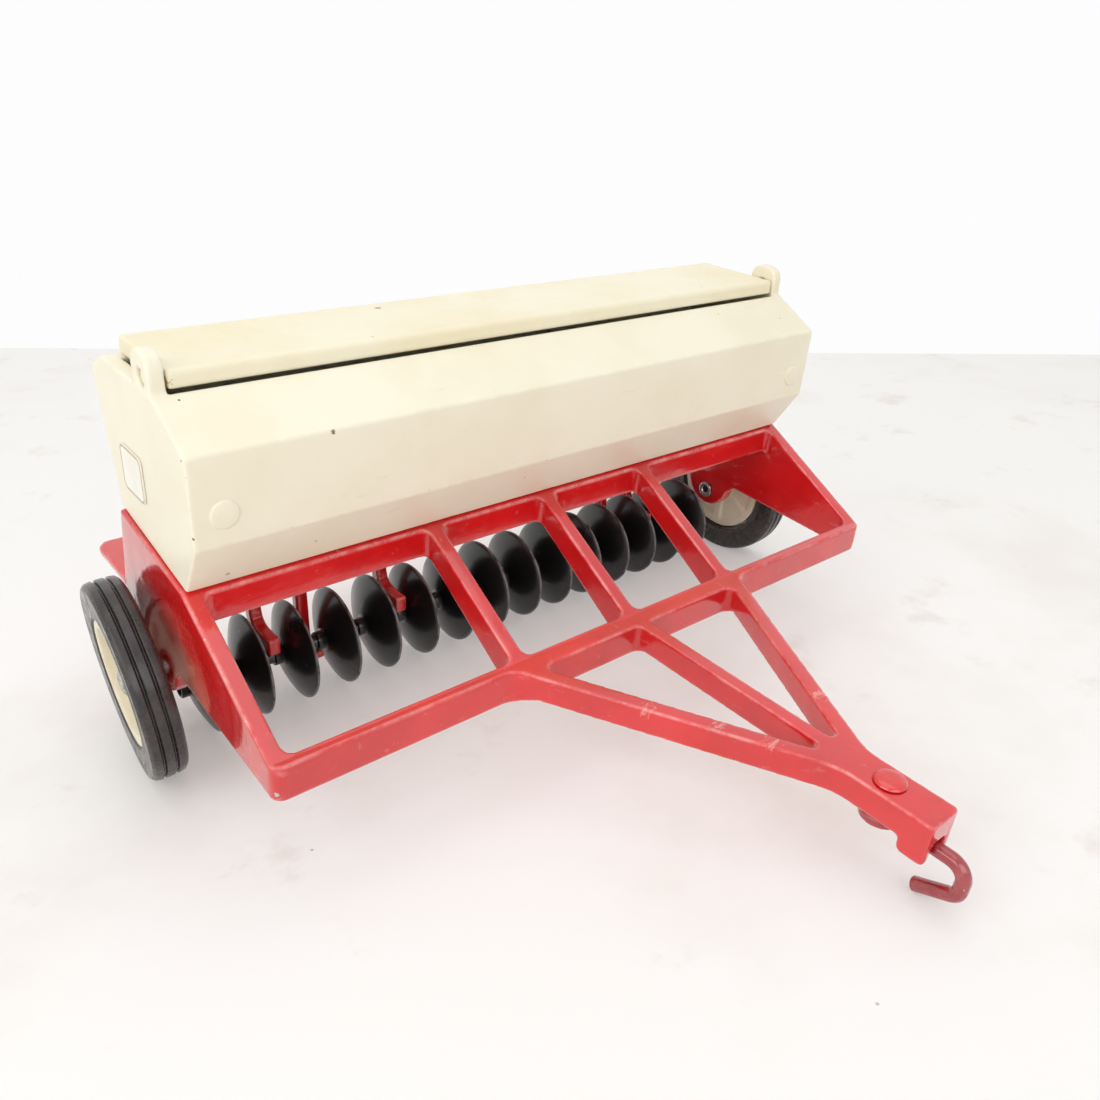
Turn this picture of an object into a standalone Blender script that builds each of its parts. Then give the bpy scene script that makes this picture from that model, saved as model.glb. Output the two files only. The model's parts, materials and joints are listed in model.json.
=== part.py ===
"""Toy grain drill, about 1/16 scale: die-cast frame, hopper with a hinged lid, two wheels,
a gang of fifteen discs and a wire hitch hook.  Metres, +Z up.

Every piece is laid out level, with the wheel axle as the origin: X across, -Y towards the
hitch, +Z up.  A parent empty then tips the whole toy nose down until it stands, unhitched,
on its two tyres and on the tip of its hook.
"""
import math

import bmesh
import bpy
from mathutils import Euler, Matrix, Vector

MM = 0.001
GAP = 0.3 * MM                      # clearance between pieces that touch
SMOOTH_ANGLE = math.radians(35)

# Frame: overall
FRAME_HALF_WIDTH = 111.0 * MM       # outer faces of the side plates
PLATE_THICKNESS = 4.5 * MM
DECK_FRONT_Y = -66.8 * MM           # front face of the front crossbar
DECK_FRONT_Z = 10.9 * MM            # its top edge
DECK_SLOPE = math.radians(28.2)     # the ladder deck rises to the rear
REAR_BAR_FRONT_Y = -23.9 * MM
REAR_BAR_DEPTH = 6.0 * MM
FRONT_BAR_DEPTH = 3.4 * MM
DECK_HEIGHT = 8.6 * MM              # upright height of bars and crossbars
BAR_WIDTH = 4.4 * MM
BAR_SPACING = 40.7 * MM
BAY_FILLET = 2.4 * MM
FRONT_CORNER = 3.0 * MM             # upright front corners of the deck, rounded in plan
CAST_STEP = 0.2 * MM                # parting step between the deck and the side plates

# Side plates
PLATE_REAR_TOP = Vector((16.4 * MM, 40.8 * MM))
PLATE_REAR_LOW = Vector((22.3 * MM, 15.0 * MM))
PLATE_LOW_REAR_Z = 5.2 * MM
KINK_BACK = 2.1 * MM                # the top edge turns level this far behind the bar's face
PLATE_LOW_FRONT_Z = 2.6 * MM
BOSS_RADIUS = 10.0 * MM
BOSS_CENTRE_Z = 4.0 * MM

# Rear rail and footboard
RAIL_FRONT_Y = 11.0 * MM
RAIL_REAR_Y = 20.0 * MM
RAIL_BOTTOM_Z = 6.0 * MM
RAIL_TOP_Z = 13.4 * MM
BOARD_FRONT_Y = 12.0 * MM
BOARD_REAR_Y = 47.5 * MM
BOARD_TOP_Z = 16.4 * MM
BOARD_CORNER = 3.5 * MM
BOARD_HALF_WIDTH = FRAME_HALF_WIDTH - 0.4 * MM

# Tongue and hitch block
TONGUE_TOP_Z = 12.2 * MM
TONGUE_HEIGHT = 7.5 * MM
TONGUE_HALF_WIDTH = 5.6 * MM
TONGUE_FRONT_Y = -163.6 * MM
BRACE_FOOT_X = 44.5 * MM            # outer edge of each outer brace at the crossbar
BRACE_MEET_Y = -139.5 * MM          # where the outer edges meet the straight tongue
BRACE_WIDTH = 4.6 * MM
BRACE_FILLET = 5.0 * MM
TRIANGLE_REAR_Y = -69.6 * MM
TRIANGLE_FILLET = 1.6 * MM
LEG_LENGTH = 7.0 * MM
LEG_DROP = 3.9 * MM                 # the legs hang this far below the tongue
LEG_CORNER = 1.8 * MM

# Hitch hook and its rivet
RIVET_Y = -149.2 * MM
RIVET_SHANK_RADIUS = 1.9 * MM
RIVET_HEAD_RADIUS = 4.0 * MM
RIVET_HEAD_HEIGHT = 1.3 * MM
WIRE_RADIUS = 1.9 * MM
EYE_RADIUS = 5.2 * MM
EYE_THICKNESS = 2.2 * MM
HOOK_REACH = 17.8 * MM              # rivet to the start of the first bend
HOOK_TOP_BEND = 4.2 * MM
HOOK_DROP = 2.2 * MM                # straight drop between the two bends
HOOK_LOW_BEND = 2.8 * MM
HOOK_RETURN = 9.2 * MM              # straight return leg
HOOK_RETURN_SLOPE = math.radians(25)
HOOK_PLAY = 0.8 * MM                # side play of the wire between the two legs

# Hopper
HOPPER_HALF_LENGTH = FRAME_HALF_WIDTH - 1.0 * MM
HOPPER_FRONT_Y = -31.9 * MM
HOPPER_FACE_TOP_Z = 72.2 * MM
HOPPER_FACE_LOW_Z = 49.7 * MM
HOPPER_FRONT_LOW_Y = -23.4 * MM
HOPPER_REAR_LOW_Y = 17.0 * MM
HOPPER_REAR_Y = 25.3 * MM
HOPPER_REAR_TOP_Z = 76.4 * MM
HOPPER_TOP_Z = 81.1 * MM
HOPPER_MOUTH_FRONT_Y = -15.0 * MM
HOPPER_TOP_REAR_Y = 17.0 * MM
HOPPER_WALL = 2.2 * MM

# Lid, its trunnions and the ears that carry them
LID_END_GAP = 0.6 * MM              # lid to the ears
LID_FRONT_Y = -14.5 * MM
LID_REAR_Y = 16.2 * MM
LID_THICKNESS = 4.5 * MM
LID_LOW_EDGE = 0.5 * MM
LID_RECESS = 2.4 * MM
LID_RIM = 3.0 * MM
HINGE_Y = -9.8 * MM
TRUNNION_RADIUS = 1.9 * MM
TRUNNION_PLAY = 0.35 * MM
EAR_THICKNESS = 4.0 * MM
LID_HALF_LENGTH = HOPPER_HALF_LENGTH - EAR_THICKNESS - LID_END_GAP
EAR_HALF_WIDTH = 5.2 * MM
EAR_ABOVE_HINGE = 6.4 * MM

# Plugs in the hopper's front wall, label on its left end
PLUG_X = HOPPER_HALF_LENGTH - 7.7 * MM
PLUG_Z = 57.4 * MM
PLUG_RADIUS = 3.6 * MM
PLUG_PROUD = 0.4 * MM
PLUG_SHANK_RADIUS = 2.0 * MM
LABEL_SIZE = (14.0 * MM, 12.4 * MM)
LABEL_CENTRE = (3.2 * MM, 55.6 * MM)
LABEL_CORNER = 2.2 * MM
LABEL_THICKNESS = 0.4 * MM
LABEL_GAP = 0.1 * MM

# Wheels
TYRE_RADIUS = 27.5 * MM
TYRE_WIDTH = 9.2 * MM
TYRE_BEAD_RADIUS = 18.0 * MM
TYRE_SHOULDER = 1.0 * MM
RIB_GROOVE = 1.2 * MM
GROOVE_WIDTH = 0.8 * MM
WHEEL_OFFSET = 3.0 * MM             # side plate to the tyre's inner face
RIM_WIDTH = 7.4 * MM
RIM_BAND = 2.4 * MM
RIM_WEB = 2.4 * MM
RIM_RECESS = 0.5 * MM              # outer edge of the rim, in from the tyre's outer face
WEB_SHIFT = 1.2 * MM                # web, inwards from the middle of the rim
HUB_RADIUS = 6.0 * MM
HUB_TAPER = 0.8 * MM
HUB_FACE = 1.5 * MM                 # outer hub face, from the middle of the rim
SPOKE_COUNT = 6
SPOKE_WIDTH = 3.2 * MM
SPOKE_HEIGHT = 1.2 * MM
AXLE_RADIUS = 2.3 * MM
AXLE_PLAY = 0.9 * MM                # loose bore, so that the wheel leans on its rivet
AXLE_END_PLAY = 0.6 * MM            # room for the leaning hub at each end
LEFT_LEAN = (math.radians(-5.0), math.radians(-4.0))     # about Y, then about Z
RIGHT_LEAN = (math.radians(-2.9), math.radians(2.3))
AXLE_HEAD_RADIUS = 4.2 * MM
AXLE_HEAD_HEIGHT = 1.2 * MM
EYELET_RADIUS = 3.0 * MM
EYELET_LIP = 0.8 * MM
EYELET_BORE = 1.4 * MM
EYELET_BORE_DEPTH = 5.0 * MM

# Disc gang
DISC_COUNT = 15
GANG_END_ROOM = 8.5 * MM            # outermost disc to the side plate, gang centred
DISC_PITCH = 2.0 * (FRAME_HALF_WIDTH - PLATE_THICKNESS - GANG_END_ROOM) / (DISC_COUNT - 1)
DISC_RADIUS = 15.5 * MM
DISC_THICKNESS = 0.9 * MM
DISC_DISH = 4.4 * MM
DISC_HUB_RADIUS = 2.9 * MM
DISC_HUB_LENGTH = 3.0 * MM
GANG_X = -0.5 * MM                  # the loose gang has slid a little to the left
GANG_Y = 5.5 * MM
GANG_Z = -12.4 * MM
SHAFT_RADIUS = 2.0 * MM
SHAFT_OVERHANG = 5.0 * MM
SHAFT_PLAY = 0.3 * MM

# Hangers that carry the gang: the disc each stands left of, and its room beyond the gap
FRONT_HOOKS = ((3, 1.1 * MM), (6, 0.0), (11, 0.0), (14, 1.0 * MM))
REAR_HOOKS = ((4, 0.0), (13, 0.0))
HANGER_WIDTH = 3.8 * MM
HANGER_DEPTH = 4.0 * MM
TOE_REACH = 4.5 * MM                # shaft axis to the toe's front face
TOE_HEIGHT = 5.4 * MM
NUB_REACH = 1.8 * MM
NUB_HEIGHT = 2.6 * MM

RED = (0.56, 0.015, 0.02)
CREAM = (0.80, 0.75, 0.56)
BLACK = (0.012, 0.012, 0.013)
RUBBER = (0.02, 0.02, 0.021)
STEEL = (0.62, 0.61, 0.58)
PAPER = (0.82, 0.80, 0.72)


# ---------------------------------------------------------------- scene and helpers

def clear_scene():
    for obj in list(bpy.data.objects):
        bpy.data.objects.remove(obj, do_unlink=True)


def new_collection(name):
    collection = bpy.data.collections.new(name)
    bpy.context.scene.collection.children.link(collection)
    return collection


def material(name, colour, roughness, metallic=0.0):
    result = bpy.data.materials.new(name)
    result.use_nodes = True
    shader = result.node_tree.nodes["Principled BSDF"]
    shader.inputs["Base Color"].default_value = (*colour, 1.0)
    shader.inputs["Roughness"].default_value = roughness
    shader.inputs["Metallic"].default_value = metallic
    return result


def object_from_mesh(name, mesh, collection):
    obj = bpy.data.objects.new(name, mesh)
    collection.objects.link(obj)
    return obj


def finish_piece(obj, name, finish, pivot=Matrix.Identity(4)):
    """Move the origin to the pivot, give the piece its material and hang it on the stance."""
    bpy.context.view_layer.update()
    obj.name = name
    obj.data.name = name
    obj.data.transform(pivot.inverted() @ obj.matrix_world)
    obj.matrix_world = pivot
    obj.parent = STANCE
    obj.data.materials.clear()
    obj.data.materials.append(finish)
    obj.data.shade_smooth()
    obj.data.set_sharp_from_angle(angle=SMOOTH_ANGLE)
    for modifier in obj.modifiers:
        if modifier.type == "BOOLEAN":
            modifier.object.parent = obj
            modifier.object.matrix_parent_inverse = pivot.inverted()
    return obj


def boolean(target, tool, operation):
    """Cut or join with a tool that stays in the scene as a guide."""
    tool.hide_render = True
    tool.display_type = "WIRE"
    modifier = target.modifiers.new(f"{operation.lower()} {tool.name}", "BOOLEAN")
    modifier.operation = operation
    modifier.solver = "EXACT"
    modifier.object = tool
    return modifier


def mesh_of(obj, collection):
    """Replace a curve by its welded mesh, so that it can be cut or joined."""
    bpy.context.view_layer.update()
    evaluated = obj.evaluated_get(bpy.context.evaluated_depsgraph_get())
    mesh = bpy.data.meshes.new_from_object(evaluated)
    shape = bmesh.new()
    shape.from_mesh(mesh)
    bmesh.ops.remove_doubles(shape, verts=shape.verts, dist=0.002 * MM)
    bmesh.ops.recalc_face_normals(shape, faces=shape.faces)
    shape.to_mesh(mesh)
    shape.free()
    name = obj.name
    result = object_from_mesh(name, mesh, collection)
    result.matrix_world = obj.matrix_world
    bpy.data.objects.remove(obj, do_unlink=True)
    return result


def fillet(points, radii, segments=5):
    """Round the corners of a closed outline; a radius of 0 leaves a corner sharp."""
    outline = []
    count = len(points)
    for index, (point, radius) in enumerate(zip(points, radii)):
        corner = Vector(point)
        if radius <= 0.0:
            outline.append(corner)
            continue
        before = (Vector(points[index - 1]) - corner).normalized()
        after = (Vector(points[(index + 1) % count]) - corner).normalized()
        half = before.angle(after) / 2.0
        start = corner + before * (radius / math.tan(half))
        centre = corner + (before + after).normalized() * (radius / math.sin(half))
        sweep = math.pi - 2.0 * half
        turn = -1.0 if before.cross(after) > 0.0 else 1.0
        arm = start - centre
        for step in range(segments + 1):
            angle = turn * sweep * step / segments
            outline.append(centre + Matrix.Rotation(angle, 2) @ arm)
    return outline


def flat_outline(name, loops, thickness, collection):
    """A flat 2D curve with holes, extruded to a closed solid about its own plane."""
    curve = bpy.data.curves.new(name, "CURVE")
    curve.dimensions = "2D"
    curve.fill_mode = "BOTH"
    curve.extrude = thickness / 2.0
    for loop in loops:
        spline = curve.splines.new("POLY")
        spline.points.add(len(loop) - 1)
        for target, source in zip(spline.points, loop):
            target.co = (source[0], source[1], 0.0, 1.0)
        spline.use_cyclic_u = True
    obj = bpy.data.objects.new(name, curve)
    collection.objects.link(obj)
    return obj


def side_profile(name, outline, x_from, x_to, collection):
    """A solid with the given outline in the Y-Z plane, between two X positions."""
    obj = flat_outline(name, [outline], x_to - x_from, collection)
    obj.rotation_euler = (math.pi / 2.0, 0.0, math.pi / 2.0)
    obj.location.x = (x_from + x_to) / 2.0
    return mesh_of(obj, collection)


def plan_outline(name, loops, z_from, z_to, collection):
    """A solid with the given outline seen from above, between two heights."""
    obj = flat_outline(name, loops, z_to - z_from, collection)
    obj.location.z = (z_from + z_to) / 2.0
    return mesh_of(obj, collection)


def box(name, low, high, collection):
    mesh = bpy.data.meshes.new(name)
    shape = bmesh.new()
    size = Vector(high) - Vector(low)
    middle = (Vector(high) + Vector(low)) / 2.0
    bmesh.ops.create_cube(shape, size=1.0)
    bmesh.ops.scale(shape, verts=shape.verts, vec=size)
    bmesh.ops.translate(shape, verts=shape.verts, vec=middle)
    shape.to_mesh(mesh)
    shape.free()
    return object_from_mesh(name, mesh, collection)


def cylinder(name, radius, start, end, segments, collection):
    """A round bar between two points."""
    axis = Vector(end) - Vector(start)
    mesh = bpy.data.meshes.new(name)
    shape = bmesh.new()
    bmesh.ops.create_cone(shape, cap_ends=True, segments=segments, radius1=radius,
                          radius2=radius, depth=axis.length)
    place = axis.to_track_quat("Z", "Y").to_matrix().to_4x4()
    place.translation = (Vector(start) + Vector(end)) / 2.0
    bmesh.ops.transform(shape, matrix=place, verts=shape.verts)
    shape.to_mesh(mesh)
    shape.free()
    return object_from_mesh(name, mesh, collection)


def turned(name, profile, steps, axis, place, collection):
    """Turn a (radius, height) profile, listed top to bottom, about its axis, then aim that
    axis along X or leave it upright."""
    mesh = bpy.data.meshes.new(name)
    points = [(radius, 0.0, height) for radius, height in profile]
    edges = [(index, index + 1) for index in range(len(points) - 1)]
    if profile[0][0] > 0.0:
        edges.append((len(points) - 1, 0))
    mesh.from_pydata(points, edges, [])
    obj = object_from_mesh(name, mesh, collection)
    screw = obj.modifiers.new("turn", "SCREW")
    screw.axis = "Z"
    screw.steps = steps
    screw.render_steps = steps
    screw.use_merge_vertices = True
    screw.merge_threshold = 0.001 * MM
    obj = mesh_of(obj, collection)
    if axis == "X":
        obj.rotation_euler = (0.0, math.pi / 2.0, 0.0)
    obj.location = place
    return obj


# ---------------------------------------------------------------- shared places

def deck_top_z(y):
    """Height of the sloping deck's top face."""
    return DECK_FRONT_Z + (y - DECK_FRONT_Y) * math.tan(DECK_SLOPE)


def plate_kink():
    """Where the deck slope meets the side plate's shallower rear top edge."""
    y = REAR_BAR_FRONT_Y + KINK_BACK
    return Vector((y, deck_top_z(y)))


def seat_z(y):
    """Height of the plates' rear top edge, on which the hopper sits."""
    kink = plate_kink()
    share = (y - kink.x) / (PLATE_REAR_TOP.x - kink.x)
    return kink.y + share * (PLATE_REAR_TOP.y - kink.y)


def hinge_z():
    return HOPPER_TOP_Z + GAP + LID_THICKNESS / 2.0


def tongue_bottom_z():
    return TONGUE_TOP_Z - TONGUE_HEIGHT


def wire_z():
    """Height of the hook's wire under the tongue."""
    return tongue_bottom_z() - GAP - EYE_THICKNESS / 2.0


def wheel_inner_x():
    return FRAME_HALF_WIDTH + WHEEL_OFFSET


def wheel_middle_x():
    return wheel_inner_x() + TYRE_WIDTH / 2.0


def inner_plate_x():
    return FRAME_HALF_WIDTH - PLATE_THICKNESS


def disc_x(number):
    """Rim plane of a disc, counted from 1 at the left."""
    return GANG_X + (number - 1 - (DISC_COUNT - 1) / 2.0) * DISC_PITCH


# ---------------------------------------------------------------- frame casting

def deck_plan():
    """Outline of the deck and tongue seen from above, with its bays and triangles."""
    half = FRAME_HALF_WIDTH - CAST_STEP
    rear = REAR_BAR_FRONT_Y + REAR_BAR_DEPTH
    outer = [(half, rear), (-half, rear), (-half, DECK_FRONT_Y),
             (-BRACE_FOOT_X, DECK_FRONT_Y), (-TONGUE_HALF_WIDTH, BRACE_MEET_Y),
             (-TONGUE_HALF_WIDTH, TONGUE_FRONT_Y), (TONGUE_HALF_WIDTH, TONGUE_FRONT_Y),
             (TONGUE_HALF_WIDTH, BRACE_MEET_Y), (BRACE_FOOT_X, DECK_FRONT_Y),
             (half, DECK_FRONT_Y)]
    corner = LEG_CORNER * 0.6
    radii = [0, 0, FRONT_CORNER, BRACE_FILLET, BRACE_FILLET * 3, corner, corner,
             BRACE_FILLET * 3, BRACE_FILLET, FRONT_CORNER]
    loops = [fillet(outer, radii)]
    bar_faces = []
    for place in (-1, 0, 1):
        bar_faces.append(place * BAR_SPACING - BAR_WIDTH / 2.0)
        bar_faces.append(place * BAR_SPACING + BAR_WIDTH / 2.0)
    edges = [-inner_plate_x(), *bar_faces, inner_plate_x()]
    front = DECK_FRONT_Y + FRONT_BAR_DEPTH
    for left, right in zip(edges[0::2], edges[1::2]):
        bay = [(left, front), (right, front), (right, REAR_BAR_FRONT_Y),
               (left, REAR_BAR_FRONT_Y)]
        loops.append(fillet(bay, [BAY_FILLET] * 4, segments=4))
    for side in (-1, 1):
        loops.append(tongue_triangle(side))
    return loops


def tongue_triangle(side):
    """Open triangle between the centre brace and one outer brace."""
    run = DECK_FRONT_Y - BRACE_MEET_Y
    lean = (BRACE_FOOT_X - TONGUE_HALF_WIDTH) / run
    across = BRACE_WIDTH * math.hypot(1.0, lean)
    foot = BRACE_FOOT_X - across
    inner = BAR_WIDTH / 2.0
    rear_x = foot - (DECK_FRONT_Y - TRIANGLE_REAR_Y) * lean
    tip_y = DECK_FRONT_Y - (foot - inner) / lean
    corners = [(side * inner, TRIANGLE_REAR_Y), (side * rear_x, TRIANGLE_REAR_Y),
               (side * inner, tip_y)]
    return fillet(corners, [TRIANGLE_FILLET, TRIANGLE_FILLET * 1.4, TRIANGLE_FILLET])


def deck_side():
    """Side outline of the deck, tongue and hitch legs."""
    rear = REAR_BAR_FRONT_Y + REAR_BAR_DEPTH + 1.0 * MM
    kink = plate_kink()
    leg_rear = TONGUE_FRONT_Y + LEG_LENGTH
    leg_bottom = tongue_bottom_z() - LEG_DROP
    step_y = DECK_FRONT_Y + (TONGUE_TOP_Z - DECK_FRONT_Z) / math.tan(DECK_SLOPE)
    front = TONGUE_FRONT_Y - 1.0 * MM
    outline = [(rear, kink.y), (kink.x, kink.y), (step_y, TONGUE_TOP_Z),
               (front, TONGUE_TOP_Z), (front, leg_bottom), (leg_rear, leg_bottom),
               (leg_rear, tongue_bottom_z()),
               (DECK_FRONT_Y - 6.0 * MM, tongue_bottom_z()),
               (DECK_FRONT_Y, DECK_FRONT_Z - DECK_HEIGHT),
               (DECK_FRONT_Y + FRONT_BAR_DEPTH, DECK_FRONT_Z - DECK_HEIGHT),
               (REAR_BAR_FRONT_Y, deck_top_z(REAR_BAR_FRONT_Y) - DECK_HEIGHT),
               (rear, deck_top_z(REAR_BAR_FRONT_Y) - DECK_HEIGHT)]
    radii = [0, 0, 0, 0, LEG_CORNER, LEG_CORNER, LEG_CORNER * 0.5, 0, 0, 0, 0, 0]
    return fillet(outline, radii, segments=4)


def plate_side():
    """Side outline of one side plate with its axle boss."""
    kink = plate_kink()
    top_front = DECK_FRONT_Z - CAST_STEP
    boss = []
    for step in range(9):
        angle = math.radians(190 + step * 20)
        boss.append((BOSS_RADIUS * math.cos(angle),
                     BOSS_CENTRE_Z + BOSS_RADIUS * math.sin(angle)))
    outline = [tuple(PLATE_REAR_TOP), (kink.x, kink.y - CAST_STEP),
               (DECK_FRONT_Y, top_front), (DECK_FRONT_Y, PLATE_LOW_FRONT_Z),
               (-BOSS_RADIUS - 3.0 * MM, PLATE_LOW_REAR_Z),
               *boss, tuple(PLATE_REAR_LOW)]
    radii = [0.8 * MM, 0.8 * MM, 1.2 * MM, 1.6 * MM, 0.8 * MM] + [0] * len(boss) + [3.0 * MM]
    return fillet(outline, radii, segments=3)


def hanger_root():
    """Rear and front faces of a hanger and the height at which it enters the rail."""
    middle = (RAIL_FRONT_Y + RAIL_REAR_Y) / 2.0
    half = HANGER_DEPTH / 2.0
    return middle + half, middle - half, (RAIL_BOTTOM_Z + RAIL_TOP_Z) / 2.0


def front_hook_side():
    """Curved hanger that bends forward over the gang and ends in a square toe."""
    rear, front, root_z = hanger_root()
    low = GANG_Z + DISC_HUB_RADIUS + GAP
    high = low + TOE_HEIGHT
    toe = GANG_Y - TOE_REACH
    outline = [(rear, root_z), (front, root_z), (front - 0.3 * HANGER_DEPTH, high),
               (toe, high), (toe, low), (front - 0.5 * HANGER_DEPTH, low),
               (rear - 0.3 * HANGER_DEPTH, high)]
    radii = [0, 0, HANGER_DEPTH, 0.5 * MM, 0.4 * MM, HANGER_DEPTH * 0.5, HANGER_DEPTH]
    return fillet(outline, radii, segments=3)


def rear_hook_side():
    """Straight hanger behind the gang with a rounded nub that turns in below it."""
    rear, front, root_z = hanger_root()
    high = GANG_Z - DISC_HUB_RADIUS - GAP
    low = high - NUB_HEIGHT
    nub = GANG_Y - NUB_REACH
    outline = [(rear, root_z), (front, root_z), (front - 0.3 * HANGER_DEPTH, high),
               (nub, high), (nub, low), (rear - 0.5 * HANGER_DEPTH, low)]
    radii = [0, 0, HANGER_DEPTH * 0.4, 0.8 * MM, 1.2 * MM, HANGER_DEPTH * 0.6]
    return fillet(outline, radii, segments=3)


def corner_cutter(side, tools):
    """What rounding takes off the upright front corner of one side plate."""
    outside = 2.0 * MM
    corner = Vector((FRAME_HALF_WIDTH, DECK_FRONT_Y))
    centre = corner + Vector((-FRONT_CORNER, FRONT_CORNER))
    outline = [(corner.x - FRONT_CORNER, corner.y - outside),
               (corner.x + outside, corner.y - outside),
               (corner.x + outside, corner.y + FRONT_CORNER)]
    for step in range(6):
        angle = -math.pi / 2.0 * step / 5
        outline.append((centre.x + FRONT_CORNER * math.cos(angle),
                        centre.y + FRONT_CORNER * math.sin(angle)))
    outline = [(side * x, y) for x, y in outline]
    return plan_outline(f"corner {side}", [outline], -10.0 * MM, 30.0 * MM, tools)


def frame_casting(parts, tools, paint):
    frame = plan_outline("frame_casting", deck_plan(), -5.0 * MM, 60.0 * MM, parts)
    far = FRAME_HALF_WIDTH + 5.0 * MM
    boolean(frame, side_profile("deck side", deck_side(), -far, far, tools), "INTERSECT")
    for side in (-1, 1):
        edges = sorted((side * inner_plate_x(), side * FRAME_HALF_WIDTH))
        plate = side_profile(f"plate {side}", plate_side(), *edges, tools)
        boolean(frame, plate, "UNION")
        boolean(frame, corner_cutter(side, tools), "DIFFERENCE")
    half = inner_plate_x() + PLATE_THICKNESS / 2.0
    rail = box("rail", (-half, RAIL_FRONT_Y, RAIL_BOTTOM_Z),
               (half, RAIL_REAR_Y, RAIL_TOP_Z), tools)
    boolean(frame, rail, "UNION")
    for hooks, outline in ((FRONT_HOOKS, front_hook_side()), (REAR_HOOKS, rear_hook_side())):
        for number, room in hooks:
            right = disc_x(number) - DISC_DISH - DISC_THICKNESS / 2.0 - GAP - room
            hanger = side_profile(f"hanger {number}", outline, right - HANGER_WIDTH, right,
                                  tools)
            boolean(frame, hanger, "UNION")
    groove = WIRE_RADIUS + HOOK_PLAY
    slot = box("hook slot", (-groove, TONGUE_FRONT_Y - 2.0 * MM, -20.0 * MM),
               (groove, RIVET_Y + EYE_RADIUS, wire_z() + WIRE_RADIUS + 0.5 * MM), tools)
    boolean(frame, slot, "DIFFERENCE")
    rivet_hole = cylinder("rivet hole", RIVET_SHANK_RADIUS + GAP, (0, RIVET_Y, 0),
                          (0, RIVET_Y, TONGUE_TOP_Z + 5.0 * MM), 20, tools)
    boolean(frame, rivet_hole, "DIFFERENCE")
    for side in (-1, 1):
        bore = cylinder(f"axle hole {side}", AXLE_RADIUS + GAP,
                        (side * (inner_plate_x() - 5.0 * MM), 0, 0),
                        (side * (FRAME_HALF_WIDTH + 5.0 * MM), 0, 0), 20, tools)
        boolean(frame, bore, "DIFFERENCE")
    return finish_piece(frame, "frame_casting", paint)


def footboard(parts, tools, paint):
    """Plank behind the hopper, notched around the side plates, on the rear rail."""
    half = BOARD_HALF_WIDTH
    inner = inner_plate_x() - GAP
    share = (BOARD_TOP_Z - PLATE_REAR_LOW.y) / (PLATE_REAR_TOP.y - PLATE_REAR_LOW.y)
    plate_rear = max(PLATE_REAR_LOW.x, PLATE_REAR_LOW.x + share *
                     (PLATE_REAR_TOP.x - PLATE_REAR_LOW.x)) + GAP
    outline = [(half, plate_rear), (half, BOARD_REAR_Y), (-half, BOARD_REAR_Y),
               (-half, plate_rear), (-inner, plate_rear), (-inner, BOARD_FRONT_Y),
               (inner, BOARD_FRONT_Y), (inner, plate_rear)]
    radii = [0.6 * MM, BOARD_CORNER, BOARD_CORNER, 0.6 * MM, 0, 0, 0, 0]
    board = plan_outline("footboard", [fillet(outline, radii)], RAIL_TOP_Z + GAP,
                         BOARD_TOP_Z, parts)
    return finish_piece(board, "footboard", paint)


# ---------------------------------------------------------------- hopper, lid, trim

def hopper_side(inset):
    """Hopper section; inset moves every wall inwards by that much, with an open top."""
    base = GAP + inset
    slope = (PLATE_REAR_TOP - plate_kink()).normalized()
    front_low_y = HOPPER_FRONT_LOW_Y + inset * 0.9
    rear_low_y = HOPPER_REAR_LOW_Y - inset * 0.9
    lift = base / slope.x
    outline = [(HOPPER_MOUTH_FRONT_Y, HOPPER_TOP_Z - inset * 1.15),
               (HOPPER_FRONT_Y + inset, HOPPER_FACE_TOP_Z - inset * 0.6),
               (HOPPER_FRONT_Y + inset, HOPPER_FACE_LOW_Z + inset * 0.35),
               (front_low_y, seat_z(front_low_y) + lift),
               (rear_low_y, seat_z(rear_low_y) + lift),
               (HOPPER_REAR_Y - inset, HOPPER_REAR_TOP_Z - inset * 0.6),
               (HOPPER_TOP_REAR_Y - inset, HOPPER_TOP_Z - inset * 0.7)]
    if inset > 0.0:
        above = HOPPER_TOP_Z + 2.0 * MM
        outline[0:1] = [(HOPPER_MOUTH_FRONT_Y, above),
                        (HOPPER_MOUTH_FRONT_Y, HOPPER_TOP_Z - inset * 1.15)]
        rear_mouth = LID_REAR_Y - LID_RIM
        outline[-1:] = [(rear_mouth, HOPPER_TOP_Z - inset * 0.7), (rear_mouth, above)]
    return outline


def ear_side():
    """Upright ear with a round top, rising from the hopper's end wall."""
    front = HINGE_Y - EAR_HALF_WIDTH
    rear = HINGE_Y + EAR_HALF_WIDTH
    foot = HOPPER_TOP_Z - 5.0 * MM
    top = hinge_z() + EAR_ABOVE_HINGE
    outline = [(front, foot), (rear, foot), (rear, top), (front, top)]
    return fillet(outline, [0, 0, EAR_HALF_WIDTH * 0.8, EAR_HALF_WIDTH * 0.8])


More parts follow.
